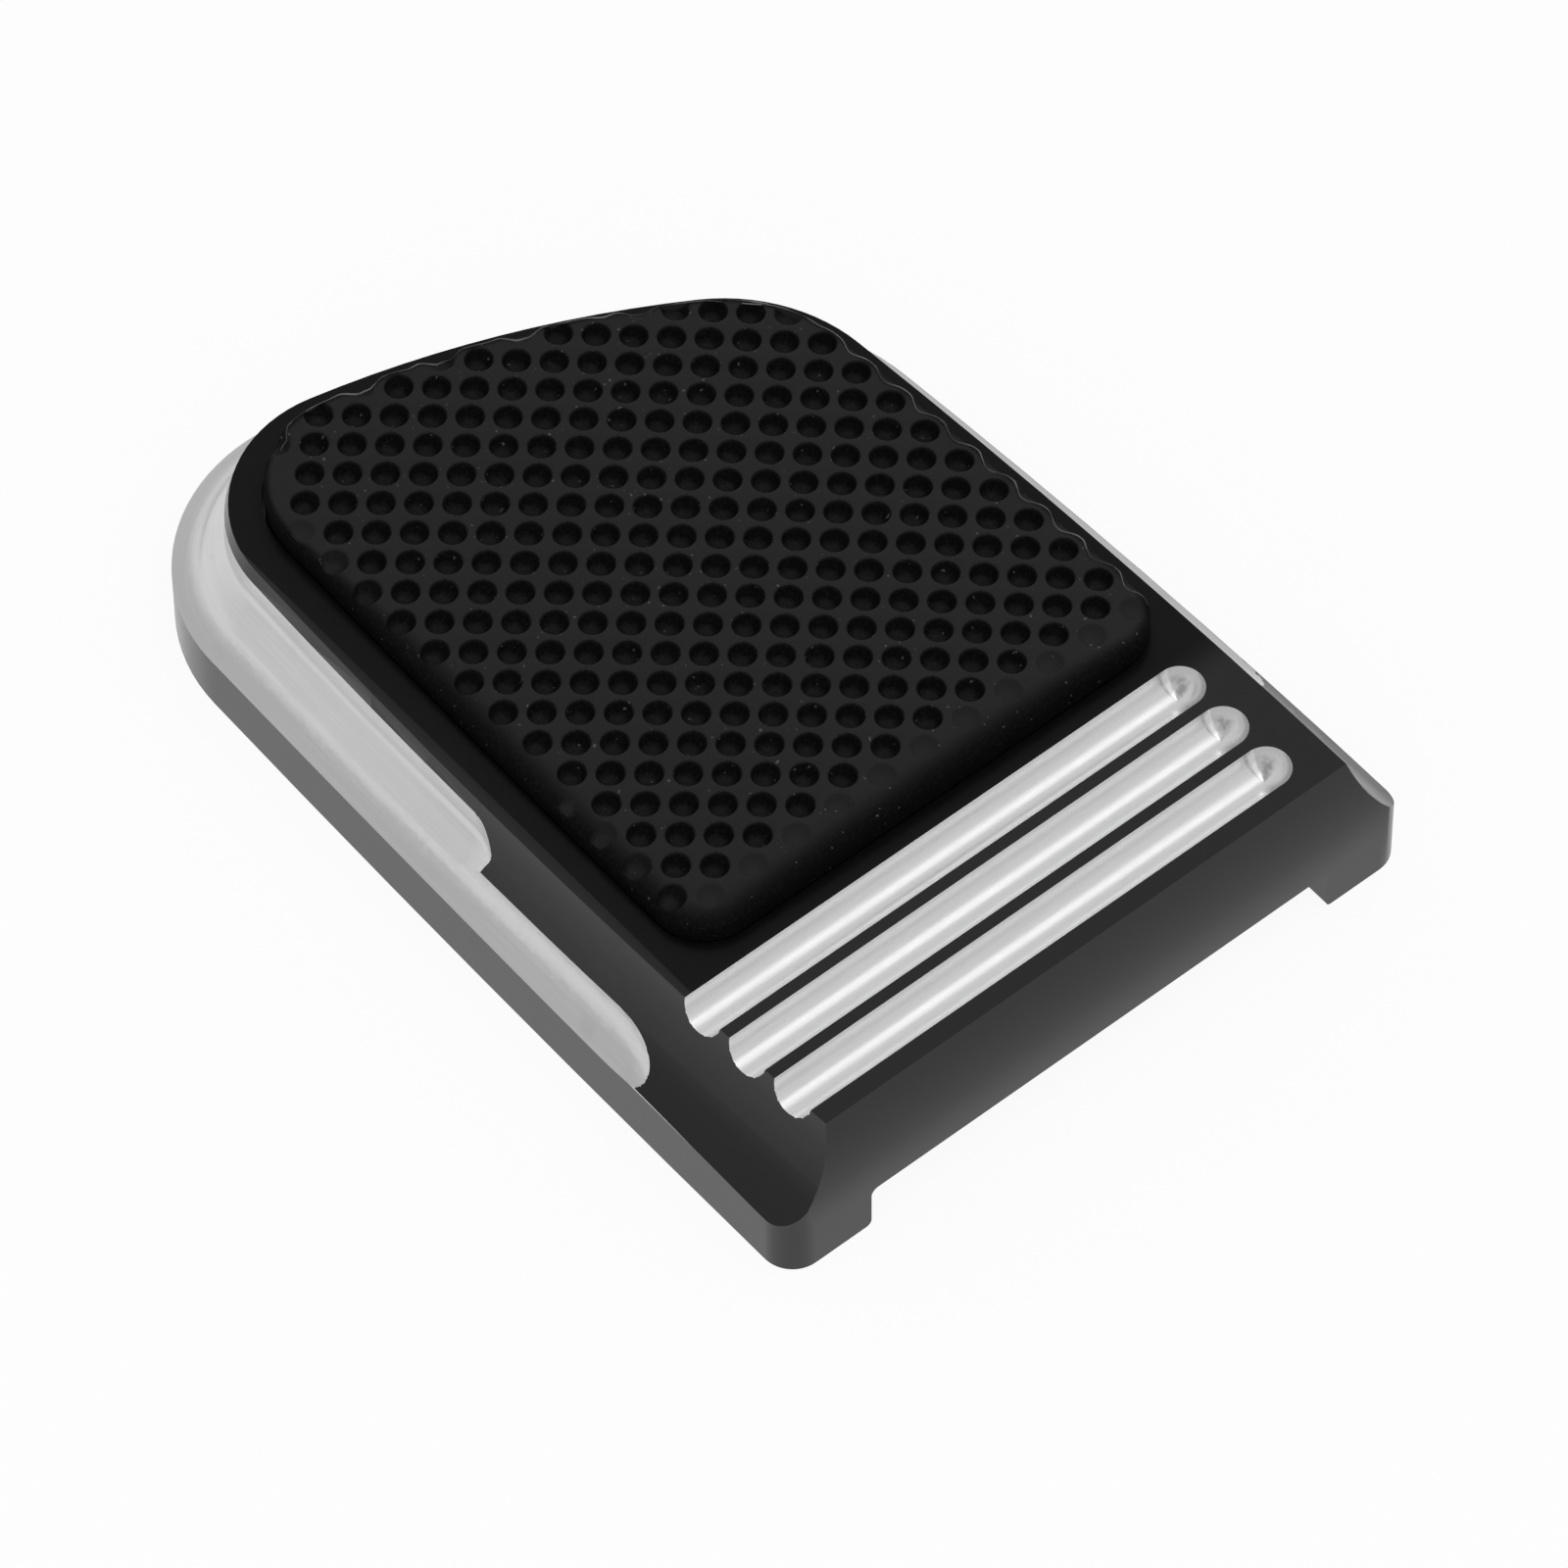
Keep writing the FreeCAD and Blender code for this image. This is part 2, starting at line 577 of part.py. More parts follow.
ballEnd.addConstraint(Sketcher.Constraint("PointOnObject", ballAxis, 1, -1))
hold(ballEnd, "DistanceX", (-1, 1, ballAxis, 1, ballX), "groove_end_x")
hold(ballEnd, "DistanceY", (-1, 1, ballAxis, 2, axisTop), "clear_margin")
doc.recompute()
ballCut = cutRound(body, "GrooveBallCut", ballEnd)
grooveRow = repeatAlongY(body, "GrooveRow", [grooveCut, ballCut], "groove_pitch", "groove_count", True)
print("grooves", body.Shape.Volume, body.Shape.isValid())

# recess in the top for the tread
recessPlan = newSketch(body, "RecessPlan", "XY_Plane", "pad_thickness")
closedOutline(recessPlan, "tread_rim", "tread_front_y", "tread_corner_radius")
recess = body.newObject("PartDesign::Pocket", "TreadRecess")
recess.Profile = recessPlan
recess.setExpression("Length", ref("tread_recess_depth"))
doc.recompute()
print("recess", body.Shape.Volume, body.Shape.isValid())

# channel underneath, open at the front, for the steel plate of the pedal
channelPlan = newSketch(body, "ChannelPlan")
closedOutline(channelPlan, "channel_wall", "run_out_y", "channel_edge_radius")
channel = body.newObject("PartDesign::Pocket", "PedalChannel")
channel.Profile = channelPlan
channel.Reversed = True
channel.setExpression("Length", ref("channel_depth"))
doc.recompute()
print("channel", body.Shape.Volume, body.Shape.isValid())
rootEdges = []
for i, edge in enumerate(body.Shape.Edges):
    box = edge.BoundBox
    low = abs(box.ZMin - cell("channel_depth"))
    high = abs(box.ZMax - cell("channel_depth"))
    if max(low, high) < TOLERANCE and box.YMax > cell("front_y") + TOLERANCE:
        rootEdges.append("Edge%d" % (i + 1))
root = body.newObject("PartDesign::Fillet", "ChannelRoot")
root.Base = (channel, rootEdges)
root.setExpression("Radius", ref("channel_edge_radius"))
doc.recompute()
print("channel root", len(rootEdges), body.Shape.Volume, body.Shape.isValid(), root.State)
mouthEdges = []
wallLimit = cell("pad_width") / 2 - cell("channel_wall") / 2
for i, edge in enumerate(body.Shape.Edges):
    box = edge.BoundBox
    inside = max(abs(box.XMin), abs(box.XMax)) < wallLimit and box.YMax - box.YMin > TOLERANCE
    if box.ZMax < TOLERANCE and inside and box.YMax < cell("pad_length") / 2 - cell("channel_wall") / 2:
        mouthEdges.append("Edge%d" % (i + 1))
mouth = body.newObject("PartDesign::Fillet", "ChannelMouth")
mouth.Base = (root, mouthEdges)
mouth.setExpression("Radius", ref("channel_mouth_radius"))
doc.recompute()
print("channel mouth", len(mouthEdges), body.Shape.Volume, body.Shape.isValid(), mouth.State)

# holes for the plugs of the tread, each opened out at the roof of the channel
holePlan = twinCircles(body, "PlugHolePlan", "tread_base_z", "plug_hole_radius")
plugHoles = body.newObject("PartDesign::Pocket", "PlugHoles")
plugHoles.Profile = holePlan
plugHoles.Type = "ThroughAll"
doc.recompute()
opening = twinCircles(body, "PlugRecessPlan", "channel_depth", "plug_recess_radius")
plugRecess = body.newObject("PartDesign::Pocket", "PlugRecess")
plugRecess.Profile = opening
plugRecess.Reversed = True
plugRecess.setExpression("Length", ref("plug_recess_depth"))
doc.recompute()
repeatAlongY(body, "PlugHoleRows", [plugHoles, plugRecess], "plug_pitch_y", "plug_rows", False)
print("plug holes", body.Shape.Volume, body.Shape.isValid())

# tapped holes through the right-hand leg
tapPlan = newSketch(body, "ScrewHolePlan", "YZ_Plane", "pad_width / 2 + clear_margin")
tapCircle = addCircle(tapPlan, cell("screw_front_y"), cell("screw_height"), cell("screw_hole_radius"))
hold(tapPlan, "Radius", (tapCircle, cell("screw_hole_radius")), "screw_hole_radius")
holdPoint(tapPlan, tapCircle, 3, "screw_front_y", "screw_height")
tapped = body.newObject("PartDesign::Pocket", "ScrewHole")
tapped.Profile = tapPlan
tapped.setExpression("Length", ref("channel_wall + 2 * clear_margin"))
doc.recompute()
repeatAlongY(body, "ScrewHoleRow", [tapped], "screw_pitch_y", "screw_count", False)
print("screw holes", body.Shape.Volume, body.Shape.isValid())

# moulded rubber tread with plugs that pass through the body and swell behind it
tread = doc.addObject("PartDesign::Body", "RubberTread")
tread.Label = "rubber_tread"
treadPlan = newSketch(tread, "TreadPlan", "XY_Plane", "tread_base_z")
closedOutline(treadPlan, "tread_offset", "tread_edge_y", "tread_edge_corner")
slab = tread.newObject("PartDesign::Pad", "TreadSlab")
slab.Profile = treadPlan
slab.setExpression("Length", ref("tread_recess_depth + tread_rise + clear_margin"))
doc.recompute()
crown = newSketch(tread, "TreadCrown", "XZ_Plane")
crownR = cell("tread_crown_radius")
crownZ = cell("tread_top_z") - crownR
half = cell("pad_width") / 2
crownEdge = crownZ + math.sqrt(crownR ** 2 - half ** 2)
crownTop = cell("tread_top_z") + 2 * cell("clear_margin")
crownArc = crown.addGeometry(arcBetween((0, crownZ), crownR, (half, crownEdge), (-half, crownEdge)), False)
crownLines = closeWithLines(crown, [(-half, crownEdge), (-half, crownTop), (half, crownTop), (half, crownEdge)],
                            crownArc, 2, 1)
for i, kind in enumerate(("Vertical", "Horizontal", "Vertical")):
    crown.addConstraint(Sketcher.Constraint(kind, crownLines[i]))
hold(crown, "Radius", (crownArc, crownR), "tread_crown_radius")
crown.addConstraint(Sketcher.Constraint("PointOnObject", crownArc, 3, -2))
hold(crown, "DistanceY", (-1, 1, crownArc, 3, crownZ), "tread_top_z - tread_crown_radius")
holdPoint(crown, crownLines[0], 2, "-pad_width / 2", "tread_top_z + 2 * clear_margin")
hold(crown, "DistanceX", (-1, 1, crownLines[1], 2, half), "pad_width / 2")
crownCut = tread.newObject("PartDesign::Pocket", "TreadCrownCut")
crownCut.Profile = crown
crownCut.Type = "ThroughAll"
crownCut.SideType = "Symmetric"
doc.recompute()
print("tread", tread.Shape.Volume, tread.Shape.isValid(), tread.Shape.BoundBox)
topEdges = []
for i, edge in enumerate(tread.Shape.Edges):
    if edge.BoundBox.ZMin > cell("pad_thickness"):
        topEdges.append("Edge%d" % (i + 1))
soft = tread.newObject("PartDesign::Fillet", "TreadEdge")
soft.Base = (crownCut, topEdges)
soft.setExpression("Radius", ref("tread_edge_radius"))
doc.recompute()
print("tread edge", len(topEdges), tread.Shape.Volume, tread.Shape.isValid(), soft.State)
stemPlan = twinCircles(tread, "PlugPlan", "tread_base_z", "plug_radius")
stems = tread.newObject("PartDesign::Pad", "Plugs")
stems.Profile = stemPlan
stems.Reversed = True
stems.setExpression("Length", ref("tread_base_z - channel_depth - plug_recess_depth"))
doc.recompute()
headPlan = twinCircles(tread, "PlugHeadPlan", "channel_depth + plug_recess_depth", "plug_head_radius")
heads = tread.newObject("PartDesign::Pad", "PlugHeads")
heads.Profile = headPlan
heads.Reversed = True
heads.setExpression("Length", ref("plug_head_height"))
doc.recompute()
repeatAlongY(tread, "PlugRows", [stems, heads], "plug_pitch_y", "plug_rows", False)
print("tread plugs", tread.Shape.Volume, tread.Shape.isValid(), len(tread.Shape.Solids))

# grub screws that lock the pad on the plate of the pedal
SCREWS = {"set_screw_front": 0, "set_screw_middle": 1, "set_screw_rear": 2}
for label, step in SCREWS.items():
    screw = doc.addObject("PartDesign::Body", "".join(w.capitalize() for w in label.split("_")))
    screw.Label = label
    shank = newSketch(screw, screw.Name + "Shank", "YZ_Plane")
    circle = addCircle(shank, 0, 0, cell("screw_radius"))
    shank.addConstraint(Sketcher.Constraint("Coincident", circle, 3, -1, 1))
    hold(shank, "Radius", (circle, cell("screw_radius")), "screw_radius")
    rod = screw.newObject("PartDesign::Pad", screw.Name + "Rod")
    rod.Profile = shank
    rod.setExpression("Length", ref("screw_length"))
    doc.recompute()
    point = screw.newObject("PartDesign::Chamfer", screw.Name + "Point")
    inner = [i for i, e in enumerate(rod.Shape.Edges) if e.BoundBox.XMax < TOLERANCE]
    point.Base = (rod, ["Edge%d" % (i + 1) for i in inner])
    point.setExpression("Size", ref("screw_point_length"))
    doc.recompute()
    key = newSketch(screw, screw.Name + "Key", "YZ_Plane", "screw_length")
    hexagon(key, "screw_key_width")
    socket = screw.newObject("PartDesign::Pocket", screw.Name + "Socket")
    socket.Profile = key
    socket.setExpression("Length", ref("screw_key_depth"))
    doc.recompute()
    y = "(screw_front_y + %d * screw_pitch_y)" % step
    wall = "right_centre_x + sqrt(right_side_radius ^ 2 - (%s - right_side_widest_y) ^ 2)" % y
    screw.setExpression("Placement.Base.x", ref(wall + " - screw_inset - screw_length"))
    screw.setExpression("Placement.Base.y", ref(y))
    screw.setExpression("Placement.Base.z", ref("screw_height"))
    doc.recompute()
    print(label, screw.Shape.Volume, screw.Shape.isValid(), screw.Shape.BoundBox)

doc.recompute()
bad = [o.Name for o in doc.Objects if "Invalid" in o.State or "Error" in o.State]
if bad:
    raise RuntimeError("failed objects: " + ", ".join(bad))
bodies = [o for o in doc.Objects if o.TypeId == "PartDesign::Body"]
for piece in bodies:
    if piece.Shape.isNull() or not piece.Shape.isValid() or len(piece.Shape.Solids) != 1:
        raise RuntimeError("bad shape: " + piece.Label)
os.makedirs("parts", exist_ok=True)
for piece in bodies:
    piece.Shape.exportStep("parts/" + piece.Label + ".step")
    print(piece.Label, round(piece.Shape.Volume, 1), piece.Shape.BoundBox)
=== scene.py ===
import math
import bpy
import bmesh
import numpy as np
from mathutils import Matrix, Vector
from mathutils.geometry import delaunay_2d_cdt


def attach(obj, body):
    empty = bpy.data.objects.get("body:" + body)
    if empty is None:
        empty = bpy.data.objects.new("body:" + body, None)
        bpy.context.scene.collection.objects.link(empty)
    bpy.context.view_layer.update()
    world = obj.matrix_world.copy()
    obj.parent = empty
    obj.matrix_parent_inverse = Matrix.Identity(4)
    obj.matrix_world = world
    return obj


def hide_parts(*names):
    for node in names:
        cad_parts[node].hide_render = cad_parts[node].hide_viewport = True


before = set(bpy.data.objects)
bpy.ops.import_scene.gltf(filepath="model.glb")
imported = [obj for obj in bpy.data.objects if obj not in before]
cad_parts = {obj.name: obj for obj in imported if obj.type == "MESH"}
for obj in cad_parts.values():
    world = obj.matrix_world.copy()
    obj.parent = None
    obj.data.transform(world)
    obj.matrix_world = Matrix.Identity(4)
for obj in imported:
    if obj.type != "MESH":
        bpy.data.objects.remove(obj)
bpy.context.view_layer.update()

mm = 0.001    # plans and heights are worked out in millimetres
random = np.random.default_rng(41)


class Wire:
    # one socket of a node; arithmetic on it adds Math nodes
    def __init__(self, finish, socket):
        self.finish = finish
        self.socket = socket

    def sum(self, kind, *values):
        return self.finish.sum(kind, *values)

    def __add__(self, other):
        return self.sum("ADD", self, other)

    def __sub__(self, other):
        return self.sum("SUBTRACT", self, other)

    def __rsub__(self, other):
        return self.sum("SUBTRACT", other, self)

    def __mul__(self, other):
        return self.sum("MULTIPLY", self, other)

    def __truediv__(self, other):
        return self.sum("DIVIDE", self, other)

    def __rtruediv__(self, other):
        return self.sum("DIVIDE", other, self)

    def __gt__(self, other):
        return self.sum("GREATER_THAN", self, other)

    def __lt__(self, other):
        return self.sum("LESS_THAN", self, other)

    __radd__ = __add__
    __rmul__ = __mul__

    def abs(self):
        return self.sum("ABSOLUTE", self)

    def least(self, other):
        return self.sum("MINIMUM", self, other)

    def most(self, other):
        return self.sum("MAXIMUM", self, other)

    # 0 at low, 1 at high, eased between them and held beyond them
    def rise(self, low, high):
        return self.finish.put("ShaderNodeMapRange", {"interpolation_type": "SMOOTHSTEP"},
                               {"Value": self, "From Min": low, "From Max": high})

    # 1 where it is close to the middle value, 0 where it is far from it
    def near(self, middle, far, close):
        return (self - middle).abs().rise(far, close)


class Finish:
    # the node tree of one material, or of the world
    def __init__(self, name, owner=None):
        self.owner = owner or bpy.data.materials.new(name)
        self.owner.use_nodes = True
        self.tree = self.owner.node_tree
        self.tree.nodes.clear()

    # adds a node of any kind and gives one of its outputs
    def put(self, kind, settings=None, values=None, out=0):
        node = self.tree.nodes.new(kind)
        for key, value in (settings or {}).items():
            setattr(node, key, value)
        pairs = values.items() if isinstance(values, dict) else enumerate(values or ())
        for key, value in pairs:
            socket = node.inputs[key]
            if isinstance(value, Wire):
                self.tree.links.new(value.socket, socket)
            elif isinstance(value, tuple) and len(value) == 3 and socket.type == "RGBA":
                socket.default_value = (*value, 1)
            else:
                socket.default_value = value
        return Wire(self, node.outputs[out]) if node.outputs else node

    def sum(self, kind, *values):
        return self.put("ShaderNodeMath", {"operation": kind}, values)

    def mix(self, share, a, b):
        return self.put("ShaderNodeMix", {"data_type": "RGBA"}, {0: share, 6: a, 7: b}, 2)

    def blend(self, share, a, b):
        return self.put("ShaderNodeMixShader", {}, {0: share, 1: a, 2: b})

    def place(self, stretch=(1, 1, 1)):
        here = self.put("ShaderNodeTexCoord", out=3)
        return self.put("ShaderNodeMapping", {}, {"Vector": here, "Scale": stretch})

    # x, y or z on the object by its number, in millimetres
    def axis(self, number):
        return self.put("ShaderNodeSeparateXYZ", {}, (self.place((1 / mm, 1 / mm, 1 / mm)),), number)

    def grain(self, scale, detail=3.0, roughness=0.55, where=None):
        values = {"Vector": where or self.place(), "Scale": scale, "Detail": detail, "Roughness": roughness}
        return self.put("ShaderNodeTexNoise", {}, values)

    def stored(self, name):
        return self.put("ShaderNodeAttribute", {"attribute_name": name}, out=2)

    def bump(self, height, depth, strength=1.0, under=None):
        values = {"Height": height, "Distance": depth, "Strength": strength}
        if under:
            values["Normal"] = under
        return self.put("ShaderNodeBump", {}, values)

    def skin(self, **values):
        sockets = {key.replace("_", " "): value for key, value in values.items()}
        return self.put("ShaderNodeBsdfPrincipled", {}, sockets)

    def wear(self, shader):
        self.put("ShaderNodeOutputMaterial", {}, {"Surface": shader})
        return self.owner


# a colour made darker or paler
def toned(colour, share):
    return tuple(share * c for c in colour)


# stands at one place and looks at another
def lookingAt(stands, target):
    aim = (Vector(target) - Vector(stands)).to_track_quat("-Z", "Y")
    return Matrix.Translation(stands) @ aim.to_matrix().to_4x4()


# the camera stands where the photographer stood
view = {
    "stands": (-0.454393, -0.558054, 0.968080),
    "looksAt": (-0.007103, -0.015520, 0.011000),
    "lean": -0.469,    # degrees
    "lens": 270,
    "sensor": 36,
    "sees": 20,    # metres
}


def makeCamera():
    camera = bpy.data.objects.new("camera", bpy.data.cameras.new("camera"))
    camera.data.lens = view["lens"]
    camera.data.sensor_width = view["sensor"]
    camera.data.clip_end = view["sees"]
    lean = Matrix.Rotation(math.radians(view["lean"]), 4, "Z")
    camera.matrix_world = lookingAt(view["stands"], view["looksAt"]) @ lean
    bpy.context.scene.collection.objects.link(camera)
    bpy.context.scene.camera = camera
    bpy.context.scene.view_settings.view_transform = "Standard"
    print("camera ready")


makeCamera()

# studio: white floor, pale room with one duller side, and two soft boxes
studio = {
    "floorHalf": 4.0,
    "floorLow": -0.0002,    # just under the pad
    "floorColour": (0.90, 0.90, 0.90),
    "floorWhite": 0.92,    # how white the camera and the reflections see it
    "room": 0.68,
    "flag": 0.64,    # the duller side
    "flagToward": (-0.800, 0.457, 0.390),
    "flagWide": (0.35, 0.70),
    "boxes": {
        "stripOverhead": {"at": (0.70, -0.21, 1.70), "size": (1.3, 0.20), "watts": 1.1, "mirrored": True},
        "fillFront": {"at": (-1.15, -1.45, 1.60), "size": (3.0, 3.0), "watts": 26.0, "mirrored": False},
    },
}


def makeFloor():
    half, low = studio["floorHalf"], studio["floorLow"]
    corners = [(-half, -half, low), (half, -half, low), (half, half, low), (-half, half, low)]
    mesh = bpy.data.meshes.new("floor")
    mesh.from_pydata(corners, [], [(0, 1, 2, 3)])
    floor = bpy.data.objects.new("floor", mesh)
    bpy.context.scene.collection.objects.link(floor)
    paper = Finish("floorPaper")
    toCamera, toGloss, through = [paper.put("ShaderNodeLightPath", out=i) for i in (0, 3, 6)]
    seen = (toCamera + toGloss + through).least(1.0) * studio["floorWhite"]
    matt = paper.put("ShaderNodeBsdfDiffuse", {}, {"Color": studio["floorColour"]})
    white = paper.put("ShaderNodeEmission", {}, {"Color": (1, 1, 1), "Strength": 1.0})
    clear = paper.put("ShaderNodeBsdfTransparent")    # seen from below, the floor is clear
    below = paper.put("ShaderNodeNewGeometry", out=6)
    mesh.materials.append(paper.wear(paper.blend(below, paper.blend(seen, matt, white), clear)))


def makeRoom():
    world = bpy.data.worlds.new("room")
    bpy.context.scene.world = world
    room = Finish("room", world)
    sky = room.put("ShaderNodeTexCoord", out=0)
    facing = room.put("ShaderNodeVectorMath", {"operation": "DOT_PRODUCT"}, (sky, studio["flagToward"]), 1)
    level = facing.rise(*studio["flagWide"]) * (studio["flag"] - studio["room"]) + studio["room"]
    toCamera = room.put("ShaderNodeLightPath", out=0)
    strength = toCamera + (1 - toCamera) * level
    light = room.put("ShaderNodeBackground", {}, {"Color": (1, 1, 1), "Strength": strength})
    room.put("ShaderNodeOutputWorld", {}, {"Surface": light})


def makeBoxes():
    for name, box in studio["boxes"].items():
        lamp = bpy.data.lights.new(name, "AREA")
        lamp.shape = "RECTANGLE"
        lamp.size, lamp.size_y = box["size"]
        lamp.energy = box["watts"]
        holder = bpy.data.objects.new(name, lamp)
        holder.visible_glossy = box["mirrored"]
        holder.matrix_world = lookingAt(box["at"], (0, 0, 0))
        bpy.context.scene.collection.objects.link(holder)


makeFloor()
makeRoom()
makeBoxes()
print("studio ready")

# the pad's plan: five tangent arcs from the left side round the rear to the right side, given by their
# radii, the centres of the first and the last, and the y of the centres of the two rear corners
cutterLine = {"radii": (912, 21.7, 128, 26.3, 909), "left": (869.9, -4.8), "rearLeftY": 34.8,
              "right": (-868.0, -51.0), "rearRightY": 17.2}
# the tread's head stands a little over the rim of its recess, which follows the seat line
treadLine = {"radii": (2500, 20.8, 128, 26.3, 909), "left": (2459.0, -30.0), "rearLeftY": 35.6,
             "right": (-867.1, -51.0), "rearRightY": 17.4}
seatLine = {**treadLine, "rearLeftY": 35.7, "right": (-868.0, -51.0), "rearRightY": 17.2}


def arcCentres(line):
    left = np.array(line["left"])
    right = np.array(line["right"])
    r = line["radii"]
    y1, y3 = line["rearLeftY"], line["rearRightY"]
    c1 = np.array((left[0] - math.sqrt((r[0] - r[1]) ** 2 - (y1 - left[1]) ** 2), y1))
    c3 = np.array((right[0] + math.sqrt((r[4] - r[3]) ** 2 - (y3 - right[1]) ** 2), y3))
    # the rear arc's centre, from its distances to the centres of the two corners
    d1, d3 = r[2] - r[1], r[2] - r[3]
    span = math.hypot(*(c3 - c1))
    along = (d1 ** 2 - d3 ** 2 + span ** 2) / (2 * span)
    ux, uy = (c3 - c1) / span
    drop = math.sqrt(d1 ** 2 - along ** 2)
    c2 = c1 + np.array((ux * along + uy * drop, uy * along - ux * drop))
    return [left, c1, c2, c3, right]


def unit(v):
    return v / np.linalg.norm(v)


# more than 0 where b lies to the left of a
def turns(a, b):
    return a[..., 0] * b[..., 1] - a[..., 1] * b[..., 0]


# how far points lie inside a line, how far along it, and which arc they belong to
def insetAlong(line, points):
    centres = arcCentres(line)
    r = line["radii"]
    joins = [unit(centres[1] - centres[0]), unit(centres[1] - centres[2]),
             unit(centres[3] - centres[2]), unit(centres[3] - centres[4])]
    q = [points - c for c in centres]
    arc = np.where(points[:, 0] < 0, 0, 4)
    behind = points[:, 1] > line["rearRightY"]
    arc[(turns(joins[1], q[2]) <= 0) & (turns(q[2], joins[2]) <= 0) & behind] = 2
    arc[(turns(joins[0], q[1]) <= 0) & (turns(q[1], joins[1]) <= 0)] = 1
    arc[(turns(joins[2], q[3]) <= 0) & (turns(q[3], joins[3]) <= 0)] = 3
    inset = np.choose(arc, [r[i] - np.hypot(q[i][:, 0], q[i][:, 1]) for i in range(5)])
    start = [np.array((-1.0, 0.0)), joins[0], joins[1], joins[2], joins[3]]
    length = [0.0]
    for i in range(4):
        length.append(length[-1] + r[i] * math.atan2(-turns(start[i], joins[i]), start[i] @ joins[i]))
    angle = [np.arctan2(-turns(start[i], q[i]), q[i] @ start[i]) for i in range(5)]
    along = np.choose(arc, [length[i] + r[i] * angle[i] for i in range(5)])
    return inset, along, arc


def makePiece(name, verts, faces, finish):
    mesh = bpy.data.meshes.new(name)
    mesh.from_pydata([tuple(v) for v in verts * mm], [], faces)
    mesh.materials.append(finish)
    mesh.polygons.foreach_set("use_smooth", [True] * len(mesh.polygons))
    mesh.update()
    piece = bpy.data.objects.new(name, mesh)
    bpy.context.scene.collection.objects.link(piece)
    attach(piece, "root")
    return piece


def store(mesh, name, values):
    mesh.attributes.new(name, "FLOAT", "POINT").data.foreach_set("value", np.asarray(values, np.float32))


# the three numbers of each vertex's place, or of each face's middle or normal
def readOut(items, name):
    values = np.empty(len(items) * 3)
    items.foreach_get(name, values)
    return values.reshape(-1, 3)


# billet: black anodised body with bright cut scallops and grooves
billet = {
    "black": (0.0012, 0.0012, 0.0013),
    "blackRough": 0.22,
    "blackIor": 1.45,
    "blackCloud": (260.0, 4.0),    # scale and detail of the noise
    "blackFine": (5200.0, 2.0),
    "silver": (0.64, 0.64, 0.642),
    "silverRough": 0.34,
    "silverStreak": (2.6, 4.0, 0.6),
    "streakAlong": 0.02,    # streaks run along the cut
    "silverCloud": (150.0, 3.0),
    "silverFine": (3800.0, 2.0),
    "silverStain": (210.0, 5.0, 0.6),
    "grooveSilver": (0.88, 0.88, 0.88),
    "grooveRough": 0.29,
    "grooveStreak": (9000.0, 3.0, 0.6),
    "grooveCloud": (400.0, 3.0),
    # painted shade: close to the foot of the tread, in front of it and left of it, the flat top turns to a
    # matt, low-reflecting copy of the anodising in place of the tread's shadow and reflection
    "paintedShadeFront": (-37.5, -32.5),
    "paintedShadeLeft": (-35.6, -31.6),
    "paintedShadeRear": (20.0, 40.0),
    "paintedShadeBow": (-30.0, 5000.0),    # the left strip bows outwards from this y on
    "paintedShadeHalf": 34.0,
    "paintedShadeLeftOf": -20.0,
    "paintedShadeAbove": 18.3,
    "paintedShadeShare": 0.8,
    "paintedShadeRough": 0.6,
    "paintedShadeIor": 1.2,
    "coveRadius": 22.0,
    "coveLow": (0.0, 7.0),    # inset and z of the ends of the cove's arc
    "coveHigh": (6.8, 18.4),
    "underTop": 18.39,
    "scallopDeep": 7.3,
    "scallopFront": -50.0,
    "scallopSlack": 0.03,
    "lipBehind": 20.0,    # the flat lip below the cove is bright only behind this y
    "lipSlack": 0.05,
    "grooves": 3,
    "grooveY": -36.1,
    "groovePitch": 6.6,
    "grooveZ": 18.62,
    "grooveRadius": 2.62,
    "grooveSlack": 0.04,
    "grooveEnd": 27.8,
    "sharp": 14.0,    # degrees
    "weld": 2e-6,    # metres
    "sliver": 1e-6,
}
# painted reflections in the grooves' ball ends, in place of the light off the cutter's circular marks: dark
# fan-shaped patches and a bright white line; near, far and close are angles round the ball
ballEndReflections = {
    "back": 0.2,
    "reach": (4.0, 6.5),
    "fan": (0.75, 0.75, 0.2),
    "edge": (1.75, 0.12, 0.04),
    "edgeBeyond": 0.5,
    "edgeShare": 0.6,
    "line": (1.45, 0.2, 0.08),
    "lineBeyond": 0.15,
    "grain": (1400.0, 2.0),
    "dark": 0.30,
    "darkReflectionShare": 0.75,
}


def anodised():
    black = Finish("anodisedBlack")
    x, y, z = [black.axis(i) for i in range(3)]
    cloud = black.grain(*billet["blackCloud"])
    fine = black.grain(*billet["blackFine"])
    colour = black.mix(cloud.rise(0.3, 0.75), toned(billet["black"], 0.8), toned(billet["black"], 1.35))
    rough = billet["blackRough"] + (cloud - 0.5) * 0.07 + (fine - 0.5) * 0.05
    relief = black.bump(fine, 0.000012, 0.5)
    shiny = black.skin(Base_Color=colour, Roughness=rough, Normal=relief, IOR=billet["blackIor"])
    # matt is the darker, shaded copy of the black, mixed in as painted shade near the tread's foot
    matt = black.skin(Base_Color=colour, Roughness=billet["paintedShadeRough"], Normal=relief, IOR=billet["paintedShadeIor"])
    bowY, bow = billet["paintedShadeBow"]
    front = y.rise(*billet["paintedShadeFront"])
    left = (x + (y - bowY) * (y - bowY) / bow).rise(*billet["paintedShadeLeft"]) * (x < billet["paintedShadeLeftOf"])
    left = left * (1 - y.rise(*billet["paintedShadeRear"])) * front
    paintedShade = (front * (x.abs() < billet["paintedShadeHalf"])).most(left) * (z > billet["paintedShadeAbove"])
    return black.wear(black.blend(paintedShade * billet["paintedShadeShare"], shiny, matt))


